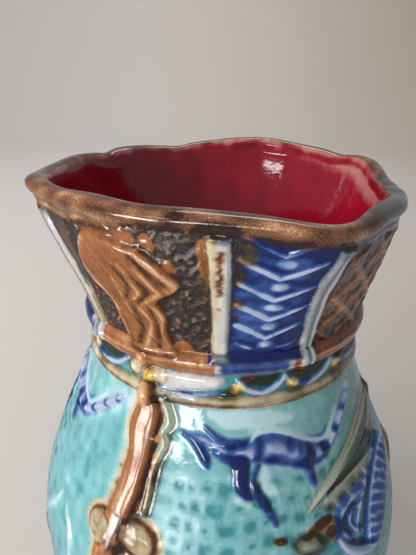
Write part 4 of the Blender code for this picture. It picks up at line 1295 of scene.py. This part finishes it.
@dataclass
class Belly(Ring):
    """The lower body, with its foot, its underside and its inside floor."""

    recess: float = 0.7
    foot_rows: int = 9
    closed: bool = False

    def outside(self, azimuth: Array) -> list[Row]:
        """The rows of the foot's roll, close together, and then those of the belly."""
        low = np.linspace(0.0, FORM.foot_height, self.foot_rows, endpoint=False)[1:]
        count = math.ceil((self.high - FORM.foot_height) / self.row_step)
        high = np.linspace(FORM.foot_height, self.high, count)
        return [outer_row(azimuth, height) for height in np.concatenate((low, high))]

    def rows(self, azimuth: Array) -> list[Row]:
        """All the rows, from the middle of the underside to the middle of the inside floor."""
        ring = ((1.0, self.recess), (20.0, self.recess), (38.0, self.recess), (43.4, self.recess),
                (44.2, 0.0), (FORM.foot_radius - 0.6, 0.0), (FORM.foot_radius + 0.2, 0.25))
        under = [plain_row(azimuth, radius, height, Side.UNDERSIDE) for radius, height in ring]
        outside = self.outside(azimuth)
        corner = 2.0 * FORM.wall
        inside = self.lining(azimuth, np.full_like(azimuth, self.high), FORM.floor + corner)
        outside[-1].crease = inside[0].crease = True
        start = inside[-1].radius
        for share in np.linspace(0.2, 1.0, 5):
            angle = 0.5 * math.pi * share
            radius = start - corner * (1.0 - math.cos(angle))
            level = FORM.floor + corner * (1.0 - math.sin(angle))
            inside.append(plain_row(azimuth, radius, level, Side.LINING))
        for radius in (28.0, 12.0, 1.0):
            inside.append(plain_row(azimuth, radius, FORM.floor, Side.LINING))
        return under + outside + inside


def tube(name: str, points: Array, creases: list[int] | None = None, closed: bool = False,
         inward: bool = False, caps: int = 2) -> bpy.types.Object:
    """Join rows of points into a smooth-shaded tube.

    Args:
        name: the object's name.
        points: its points in metres, by row and column.
        creases: the rows along which it is sharp.
        closed: whether the last row joins the first.
        inward: whether the faces are turned the other way round.
        caps: how many of its ends a many-sided face closes.

    Returns:
        The new object, linked to the scene.
    """
    count, columns = points.shape[:2]
    here = np.arange(count * columns).reshape(count, columns)
    beside = np.roll(here, -1, axis=1)
    faces = np.stack((here, beside, np.roll(beside, -1, axis=0), np.roll(here, -1, axis=0)), -1)
    faces = faces if closed else faces[:-1]
    ends = [here[0][::-1].tolist(), here[-1].tolist()]
    if inward:
        faces = faces[..., (0, 3, 2, 1)]
        ends = [end[::-1] for end in ends]
    mesh = bpy.data.meshes.new(name)
    mesh.from_pydata(points.reshape(-1, 3).tolist(), [], faces.reshape(-1, 4).tolist() + ends[:caps])
    mesh.shade_smooth()
    if creases:
        corners = np.zeros(len(mesh.edges) * 2, np.int32)
        mesh.edges.foreach_get("vertices", corners)
        row = corners.reshape(-1, 2) // columns
        sharp = (row[:, 0] == row[:, 1]) & np.isin(row[:, 0], creases)
        mesh.attributes.new("sharp_edge", "BOOLEAN", "EDGE").data.foreach_set("value", sharp)
    mesh.update()
    piece = bpy.data.objects.new(name, mesh)
    bpy.context.scene.collection.objects.link(piece)
    return piece


def dress(piece: bpy.types.Object, material: bpy.types.Material, values: dict[str, Array]) -> None:
    """Give a piece its material with the values it reads and its body, and hide the imported node that it
    stands for.
    """
    for name, given in values.items():
        layer = piece.data.attributes.new(name, "FLOAT", "POINT")
        layer.data.foreach_set("value", given.ravel().astype(np.float32))
    piece.data.materials.append(material)
    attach(piece, BODY)
    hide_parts(NODE)
    log.info("%s: %d points, %d faces", piece.name, len(piece.data.vertices), len(piece.data.polygons))


@dataclass
class Handle:
    """The looped branch that is the handle, with knots where twigs were cut and long furrows in its bark."""

    top: float = 187.0
    foot: float = 82.0
    reach: float = 98.5
    half_width: float = 7.4
    half_thickness: float = 5.1
    flare: float = 0.35
    knots: tuple[float, ...] = (0.22, 0.50, 0.78)
    swell: float = 0.20
    stations: int = 150
    sides: int = 64

    def build(self, material: bpy.types.Material) -> None:
        """Sweep the branch along its loop, with both ends inside the wall."""
        behind = np.array(180.0)
        root = float(FORM.outer(behind, np.array(self.foot))) - 0.5 * FORM.wall
        half_reach = self.reach - root
        middle_height = 0.5 * (self.top + self.foot)
        half_height = 0.5 * (self.top - self.foot)
        top_reach = float(FORM.outer(behind, np.array(self.top))) - 0.6 * FORM.wall
        start = math.acos((top_reach - root) / half_reach)
        share = np.linspace(0.0, 1.0, self.stations)[:, None]
        turn = np.linspace(0.0, TURN, self.sides, endpoint=False)[None, :]
        angle = start + (-0.5 * math.pi - start) * share
        swell = 1.0 + self.flare * np.abs(2.0 * share - 1.0) ** 4
        for number, knot in enumerate(self.knots):
            lobe = 0.6 + 0.4 * np.cos(turn - 1.9 * number)
            swell = swell + self.swell * lobe * bell(share - knot, 0.024)
        wander = np.sin(9.0 * share + 1.0) + 0.6 * np.sin(23.0 * share + 2.0)
        furrow = np.cos(9.0 * turn + 1.3 * wander)
        lumps = np.cos(3.0 * turn + 17.0 * share) * np.cos(41.0 * share + turn)
        cut = 0.22 * (1.0 - furrow) + 0.16 * (1.0 - lumps)
        out_x = -half_height * np.cos(angle)
        out_z = half_reach * np.sin(angle)
        length = np.hypot(out_x, out_z)
        wide = (swell * self.half_width - cut) * np.cos(turn)
        thick = (swell * self.half_thickness - cut) * np.sin(turn)
        x = -root - half_reach * np.cos(angle) + thick * out_x / length
        z = middle_height + half_height * np.sin(angle) + thick * out_z / length
        azimuth = np.degrees(np.arctan2(wide, x))
        radius = np.maximum(np.hypot(x, wide), FORM.outer(azimuth, z) - 0.6 * FORM.wall)
        points = np.stack((radius * np.cos(np.radians(azimuth)), radius * np.sin(np.radians(azimuth)), z), -1)
        piece = tube("handle", points * MM, inward=True)
        ends = 120.0 * np.minimum(share, 1.0 - share)
        tone = 0.42 + 0.75 * (cut - 0.3) + 0.12 * np.cos(5.0 * turn + 11.0 * share) - 0.2 * (swell > 1.12)
        values = {"tone": tone, "satin": 0.0 * x}
        values.update((glaze.value, np.full(x.shape, -FAR)) for glaze in Glaze)
        values[BROWN.value] = ends - 5.0 + 1.2 * np.cos(3.0 * turn)
        values[CREAM.value] = ends - 2.6 + 0.8 * np.cos(2.0 * turn)
        dress(piece, material, values)


@dataclass(frozen=True)
class GlazeFinish:
    """One glaze: its colours where it is thin, covers and pools, its gloss and grain, and its ragged edge."""

    thin: Colour
    body: Colour
    pool: Colour
    roughness: float
    ragged: float = 0.5
    softness: float = 0.35
    grain: float = 0.2


GROUND_FINISH = GlazeFinish((0.40, 0.58, 0.61), (0.16, 0.385, 0.405), (0.03, 0.205, 0.225), 0.09, grain=0.1)
FINISHES = {
    PALE: GlazeFinish((0.64, 0.63, 0.61), (0.46, 0.46, 0.45), (0.15, 0.19, 0.23), 0.14, 0.35, 0.4),
    CREAM: GlazeFinish((0.64, 0.60, 0.47), (0.47, 0.40, 0.25), (0.18, 0.11, 0.045), 0.22, 0.6, 0.6),
    OLIVE: GlazeFinish((0.33, 0.37, 0.30), (0.11, 0.13, 0.09), (0.012, 0.018, 0.008), 0.12, 0.6, 0.9, 0.1),
    BARK: GlazeFinish((0.25, 0.135, 0.08), (0.06, 0.03, 0.019), (0.01, 0.005, 0.004), 0.38, 0.6, 0.3, 0.6),
    BROWN: GlazeFinish((0.52, 0.3, 0.15), (0.27, 0.095, 0.028), (0.038, 0.011, 0.004), 0.18, 0.6, 0.45, 0.32),
    UMBER: GlazeFinish((0.52, 0.31, 0.18), (0.19, 0.078, 0.032), (0.026, 0.009, 0.004), 0.14, 0.7, 0.5, 0.55),
    COBALT: GlazeFinish((0.34, 0.42, 0.56), (0.032, 0.085, 0.29), (0.002, 0.009, 0.085),
                        0.15, 0.5, 0.8, 0.14),
    YELLOW: GlazeFinish((0.62, 0.52, 0.22), (0.50, 0.33, 0.05), (0.22, 0.11, 0.01), 0.12, 0.4, 0.5),
    ROSE: GlazeFinish((0.48, 0.19, 0.17), (0.31, 0.005, 0.022), (0.15, 0.0, 0.004), 0.07, 0.3, 0.4, 0.1),
    BISCUIT: GlazeFinish((0.62, 0.52, 0.40), (0.50, 0.41, 0.30), (0.32, 0.25, 0.18), 0.75, 0.4),
}
SPECK_COLOUR = (0.05, 0.03, 0.02)
CRAZE_COLOUR = (0.12, 0.09, 0.06)
# Colour of the painted glints on the bark's grain.
PAINTED_GLINT_COLOUR = (0.36, 0.235, 0.15)


@dataclass
class NodeSketch:
    """A node tree while it is drawn: adds nodes and links them by socket name."""

    tree: bpy.types.NodeTree

    def add(self, kind: str, **values: object) -> bpy.types.Node:
        """Add a node, and set its properties and its inputs' values by name."""
        node = self.tree.nodes.new(kind)
        for name, value in values.items():
            if hasattr(node, name):
                setattr(node, name, value)
            else:
                self.feed(node.inputs[name.replace("_", " ").title()], value)
        return node

    def feed(self, target: Socket, value: object) -> None:
        """Link a socket to another, or set it to a value."""
        if isinstance(value, Socket):
            self.tree.links.new(value, target)
        elif value is not None:
            colour = isinstance(value, tuple) and target.type == "RGBA"
            target.default_value = (*value, 1.0) if colour else value

    def maths(self, operation: str, first: object, second: object, third: object = None) -> Socket:
        """Add a maths node whose inputs are numbers or sockets, and give its result."""
        node = self.add("ShaderNodeMath", operation=operation)
        for slot, value in enumerate((first, second, third)):
            self.feed(node.inputs[slot], value)
        return node.outputs[0]

    def mixed(self, share: object, first: object, second: object) -> Socket:
        """Mix two colours, each a socket or a value, and give the result."""
        node = self.add("ShaderNodeMix", data_type="RGBA")
        for slot, value in ((0, share), (6, first), (7, second)):
            self.feed(node.inputs[slot], value)
        return node.outputs[2]

    def eased(self, value: Socket, low: object, high: object) -> Socket:
        """Map a value smoothly from a range to 0 and 1."""
        node = self.add("ShaderNodeMapRange", interpolation_type="SMOOTHSTEP", value=value, from_min=low,
                        from_max=high)
        return node.outputs[0]

    def noise(self, scale: float, detail: float, seed: float) -> Socket:
        """Add fine noise over the object's own space, in waves of a size in mm, and give its value."""
        place = self.add("ShaderNodeTexCoord")
        shift = self.add("ShaderNodeVectorMath", operation="ADD")
        self.feed(shift.inputs[0], place.outputs["Object"])
        self.feed(shift.inputs[1], (seed, 0.37 * seed, 0.71 * seed))
        return self.add("ShaderNodeTexNoise", scale=1.0 / (scale * MM), detail=detail, roughness=0.55,
                        vector=shift.outputs[0]).outputs[0]

    def wave(self, scale: float, detail: float, seed: float) -> Socket:
        """Noise as in noise, less a half, so that it swings about 0."""
        return self.maths("SUBTRACT", self.noise(scale, detail, seed), 0.5)


def new_group(name: str, inputs: tuple[tuple[str, str], ...], outputs: tuple[tuple[str, str], ...]
              ) -> tuple[NodeSketch, bpy.types.Node, bpy.types.Node]:
    """Start a shader node group.

    Args:
        name: the group's name.
        inputs: the name and kind of each of its inputs.
        outputs: the name and kind of each of its outputs.

    Returns:
        The sketch of its tree, its input node and its output node.
    """
    tree = bpy.data.node_groups.new(name, "ShaderNodeTree")
    for direction, sockets in (("INPUT", inputs), ("OUTPUT", outputs)):
        for socket, kind in sockets:
            tree.interface.new_socket(socket, in_out=direction, socket_type="NodeSocket" + kind)
    sketch = NodeSketch(tree)
    return sketch, sketch.add("NodeGroupInput"), sketch.add("NodeGroupOutput")


@dataclass(frozen=True)
class Majolica:
    """Glazed earthenware: coloured lead glazes, each thin on ridges and pooled in hollows."""

    bump: float = 0.35
    craze_size: float = 3.4

    def pooling_group(self) -> bpy.types.NodeTree:
        """Make the group that gives a glaze its colour by its thickness."""
        sketch, given, result = new_group(
            "pooled glaze", (("Thin", "Color"), ("Body", "Color"), ("Pool", "Color"), ("Thickness", "Float")),
            (("Color", "Color"),))
        thickness = given.outputs["Thickness"]
        colour = given.outputs["Thin"]
        for low, high, thicker in ((-0.05, 0.5, "Body"), (0.42, 1.05, "Pool")):
            colour = sketch.mixed(sketch.eased(thickness, low, high), colour, given.outputs[thicker])
        sketch.feed(result.inputs["Color"], colour)
        return sketch.tree

    def edge_group(self) -> bpy.types.NodeTree:
        """Make the group that turns the distance from a glaze's edge into a ragged mask."""
        sketch, given, result = new_group(
            "ragged edge", (("Distance", "Float"), ("Ragged", "Float"), ("Softness", "Float")),
            (("Mask", "Float"),))
        coarse = sketch.maths("MULTIPLY", sketch.wave(3.2, 3.0, 4.0), 2.0)
        wobble = sketch.maths("MULTIPLY_ADD", sketch.wave(0.7, 2.0, 9.0), 0.6, coarse)
        moved = sketch.maths("MULTIPLY_ADD", wobble, given.outputs["Ragged"], given.outputs["Distance"])
        low = sketch.maths("MULTIPLY", given.outputs["Softness"], -1.0)
        sketch.feed(result.inputs["Mask"], sketch.eased(moved, low, given.outputs["Softness"]))
        return sketch.tree

    def surface_group(self) -> bpy.types.NodeTree:
        """Make the group of the fired surface: mottle, specks, crazing, grain and a height for the bump."""
        names = ("Mottle", "Specks", "Crazing", "Height", "Grain")
        sketch, _, result = new_group("fired surface", (), tuple((name, "Float") for name in names))
        close = sketch.wave(1.1, 3.0, 2.0)
        place = sketch.add("ShaderNodeTexCoord")
        cells = sketch.add("ShaderNodeTexVoronoi", feature="DISTANCE_TO_EDGE",
                           scale=1.0 / (self.craze_size * MM), vector=place.outputs["Object"])
        line = sketch.eased(cells.outputs["Distance"], 0.0, 0.022)
        for name, value in zip(names, (
                sketch.maths("MULTIPLY_ADD", close, 0.7, sketch.wave(7.0, 4.0, 1.0)),
                sketch.eased(sketch.noise(0.9, 1.0, 5.0), 0.70, 0.76),
                sketch.maths("SUBTRACT", 1.0, line),
                sketch.maths("MULTIPLY_ADD", close, 0.35, sketch.noise(2.6, 2.0, 6.0)),
                sketch.noise(0.42, 3.0, 7.0))):
            sketch.feed(result.inputs[name], value)
        return sketch.tree

    def build(self) -> bpy.types.Material:
        """Make the material that every piece of the pitcher wears, glaze over glaze."""
        material = bpy.data.materials.new("majolica_glaze")
        material.use_nodes = True
        sketch = NodeSketch(material.node_tree)
        shader = material.node_tree.nodes["Principled BSDF"]
        pooled = self.pooling_group()
        ragged = self.edge_group()
        surface = sketch.add("ShaderNodeGroup", node_tree=self.surface_group()).outputs
        tone = sketch.add("ShaderNodeAttribute", attribute_name="tone").outputs["Fac"]
        thickness = sketch.maths("MULTIPLY_ADD", surface["Mottle"], 0.48, tone)
        fine = sketch.maths("SUBTRACT", surface["Grain"], 0.5)
        colour = self.layer(sketch, pooled, GROUND_FINISH, thickness, fine)
        satin = sketch.add("ShaderNodeAttribute", attribute_name="satin").outputs["Fac"]
        roughness = sketch.maths("MULTIPLY_ADD", satin, 0.22, GROUND_FINISH.roughness)
        grainy = None
        for glaze, finish in FINISHES.items():
            cover = sketch.add("ShaderNodeAttribute", attribute_name=glaze.value).outputs["Fac"]
            mask = sketch.add("ShaderNodeGroup", node_tree=ragged, distance=cover, ragged=finish.ragged,
                              softness=finish.softness).outputs["Mask"]
            colour = sketch.mixed(mask, colour, self.layer(sketch, pooled, finish, thickness, fine))
            step = sketch.add("ShaderNodeMix", data_type="FLOAT")
            for slot, value in ((0, mask), (2, roughness), (3, finish.roughness)):
                sketch.feed(step.inputs[slot], value)
            roughness = step.outputs[0]
            if glaze is BARK:
                grainy = mask
            elif grainy is not None:
                grainy = sketch.maths("MULTIPLY", grainy, sketch.maths("SUBTRACT", 1.0, mask))
        grain = sketch.maths("MULTIPLY", fine, grainy)
        # lit marks painted glints: specks of the bark's grain are lightened as if they caught the light.
        lit = sketch.eased(grain, 0.02, 0.16)
        for share, amount, over in ((surface["Specks"], 0.5, SPECK_COLOUR),
                                    (surface["Crazing"], 0.10, CRAZE_COLOUR), (lit, 0.22, PAINTED_GLINT_COLOUR)):
            colour = sketch.mixed(sketch.maths("MULTIPLY", share, amount), colour, over)
        sketch.feed(shader.inputs["Base Color"], colour)
        roughness = sketch.maths("MULTIPLY_ADD", surface["Mottle"], 0.06, roughness)
        sketch.feed(shader.inputs["Roughness"], roughness)
        height = sketch.maths("MULTIPLY_ADD", grain, 2.2, surface["Height"])
        bump = sketch.add("ShaderNodeBump", strength=self.bump, distance=0.14 * MM)
        sketch.feed(bump.inputs["Height"], height)
        sketch.feed(shader.inputs["Normal"], bump.outputs["Normal"])
        shader.inputs["IOR"].default_value = 1.48
        return material

    def layer(self, sketch: NodeSketch, pooled: bpy.types.NodeTree, finish: GlazeFinish, thickness: Socket,
              fine: Socket) -> Socket:
        """Add one glaze's colour by its thickness, and give the result."""
        uneven = sketch.maths("MULTIPLY_ADD", fine, 2.0 * finish.grain, thickness)
        return sketch.add("ShaderNodeGroup", node_tree=pooled, thin=finish.thin, body=finish.body,
                          pool=finish.pool, thickness=uneven).outputs["Color"]


@dataclass(frozen=True)
class Lamp:
    """A rectangular light: where it hangs, as azimuth, distance and height, its size and its power in watts.

    mirrored is whether the glaze mirrors it, and lit is whether it lights the vessel as well.
    """

    name: str
    place: tuple[float, float, float]
    size: tuple[float, float]
    power: float
    colour: Colour
    aim: tuple[float, float, float] = (0.0, 0.0, 0.14)
    mirrored: bool = True
    lit: bool = True

    def hang(self) -> None:
        """Add the light to the scene."""
        light = bpy.data.lights.new(self.name, "AREA")
        light.shape = "RECTANGLE"
        light.size, light.size_y = self.size
        light.energy = self.power
        light.color = self.colour
        lamp = bpy.data.objects.new(self.name, light)
        azimuth, distance, height = self.place
        angle = math.radians(azimuth)
        lamp.location = (distance * math.cos(angle), distance * math.sin(angle), height)
        lamp.rotation_euler = (Vector(self.aim) - Vector(lamp.location)).to_track_quat("-Z", "Y").to_euler()
        lamp.visible_glossy = self.mirrored
        lamp.visible_diffuse = self.lit
        bpy.context.scene.collection.objects.link(lamp)


LAMPS = (
    Lamp("window", (-47.6, 0.66, 0.078), (0.205, 0.122), 1.7, (0.97, 0.985, 1.0)),
    Lamp("curtain", (-73.5, 0.45, 0.066), (0.12, 0.13), 1.15, (1.0, 0.95, 0.92), lit=False),
    Lamp("pane", (-66.0, 0.66, 0.336), (0.19, 0.026), 0.36, (0.97, 0.985, 1.0)),
    Lamp("bay", (-76.0, 1.2, 0.55), (1.1, 0.8), 12.0, (1.0, 0.985, 0.96), mirrored=False),
    Lamp("skylight", (-112.0, 0.75, 0.80), (0.5, 0.4), 3.0, (1.0, 0.99, 0.97), mirrored=False),
    Lamp("side window", (-119.0, 1.1, 0.455), (0.14, 0.03), 0.05, (0.96, 0.97, 1.0)),
    Lamp("backdrop", (150.0, 0.9, 1.55), (0.9, 0.9), 15.0, (1.0, 0.99, 0.98), aim=(-1.6, 0.6, 0.2)),
)


@dataclass
class Studio:
    """The pale floor that curves up into a wall, the soft lights and the camera."""

    floor_radius: float = 2.4
    wall_height: float = 1.7
    bend: float = 0.9
    pale: Colour = (0.62, 0.585, 0.56)
    dim: Colour = (0.42, 0.37, 0.31)
    camera_azimuth: float = -25.0
    camera_distance: float = 0.1483
    camera_height: float = 0.2285
    pitch: float = 23.29
    roll: float = 0.86
    yaw: float = -2.10
    focal_pixels: float = 480.0
    image_height: float = 555.0
    sensor: float = 36.0

    def build(self) -> None:
        """Make the whole setting."""
        self.make_stage()
        for lamp in LAMPS:
            lamp.hang()
        world = bpy.data.worlds.new("sky")
        world.use_nodes = True
        background = world.node_tree.nodes["Background"]
        background.inputs["Color"].default_value = (0.92, 0.94, 1.0, 1.0)
        background.inputs["Strength"].default_value = 0.38
        bpy.context.scene.world = world
        bpy.context.scene.view_settings.view_transform = "Standard"
        self.make_camera()

    def make_stage(self) -> None:
        """Spin the section of a floor, a bend and a wall into one round backdrop."""
        angle = 0.5 * math.pi * np.arange(17) / 16.0
        radius = np.concatenate(((0.3, 0.8), self.floor_radius - self.bend + self.bend * np.sin(angle),
                                 (self.floor_radius,)))[:, None]
        height = np.concatenate(((0.0, 0.0), self.bend - self.bend * np.cos(angle),
                                 (self.wall_height,)))[:, None]
        turn = np.linspace(0.0, TURN, 96, endpoint=False)
        points = np.stack((radius * np.cos(turn), radius * np.sin(turn), height + 0.0 * turn), -1)
        floor = tube("studio_floor", points, inward=True, caps=1)
        material = bpy.data.materials.new("studio_floor")
        material.use_nodes = True
        shader = material.node_tree.nodes["Principled BSDF"]
        sketch = NodeSketch(material.node_tree)
        place = sketch.add("ShaderNodeTexCoord")
        across = sketch.add("ShaderNodeVectorMath", operation="DOT_PRODUCT")
        sketch.feed(across.inputs[0], place.outputs["Object"])
        sketch.feed(across.inputs[1], (0.42, 0.90, 0.0))
        share = sketch.eased(across.outputs["Value"], -0.5, 1.1)
        sketch.feed(shader.inputs["Base Color"], sketch.mixed(share, self.pale, self.dim))
        shader.inputs["Roughness"].default_value = 0.95
        floor.data.materials.append(material)
        floor.visible_glossy = False

    def make_camera(self) -> None:
        """Place the camera where the photograph was taken from."""
        azimuth, yaw, pitch, roll = (
            math.radians(angle) for angle in (self.camera_azimuth, self.yaw, self.pitch, self.roll))
        ahead = Vector((-math.cos(azimuth), -math.sin(azimuth), 0.0))
        aside = Vector((-math.sin(azimuth), math.cos(azimuth), 0.0))
        up = Vector((0.0, 0.0, 1.0))
        level = aside * math.sin(yaw) + ahead * math.cos(yaw)
        right = aside * math.cos(yaw) - ahead * math.sin(yaw)
        forward = level * math.cos(pitch) - up * math.sin(pitch)
        top = up * math.cos(pitch) + level * math.sin(pitch)
        tilted_right = right * math.cos(roll) + top * math.sin(roll)
        tilted_top = top * math.cos(roll) - right * math.sin(roll)
        turned = Matrix((tilted_right, tilted_top, -forward)).transposed().to_4x4()
        turned.translation = -ahead * self.camera_distance + up * self.camera_height
        data = bpy.data.cameras.new("camera")
        data.lens = self.focal_pixels * self.sensor / self.image_height
        data.sensor_width = self.sensor
        data.clip_start = 0.005
        camera = bpy.data.objects.new("camera", data)
        camera.matrix_world = turned
        bpy.context.scene.collection.objects.link(camera)
        bpy.context.scene.camera = camera


def main() -> None:
    """Build the pitcher's pieces and their setting, and report each."""
    logging.basicConfig(level=logging.INFO, format="%(name)s: %(message)s")
    glazed = Majolica().build()
    for part in (
            Belly("belly", 0.0, 95.0, row_step=1.0, fine_step=0.75, plain_step=0.75, blur=2),
            Ring("shoulder", 95.0, 155.6, row_step=0.42),
            Collar("collar", 155.6, 0.0, row_step=0.42, lining_step=1.4, fine_step=0.45, plain_step=0.9),
            Handle(),
            ):
        part.build(glazed)
    Studio().build()


if __name__ == "__main__":
    main()
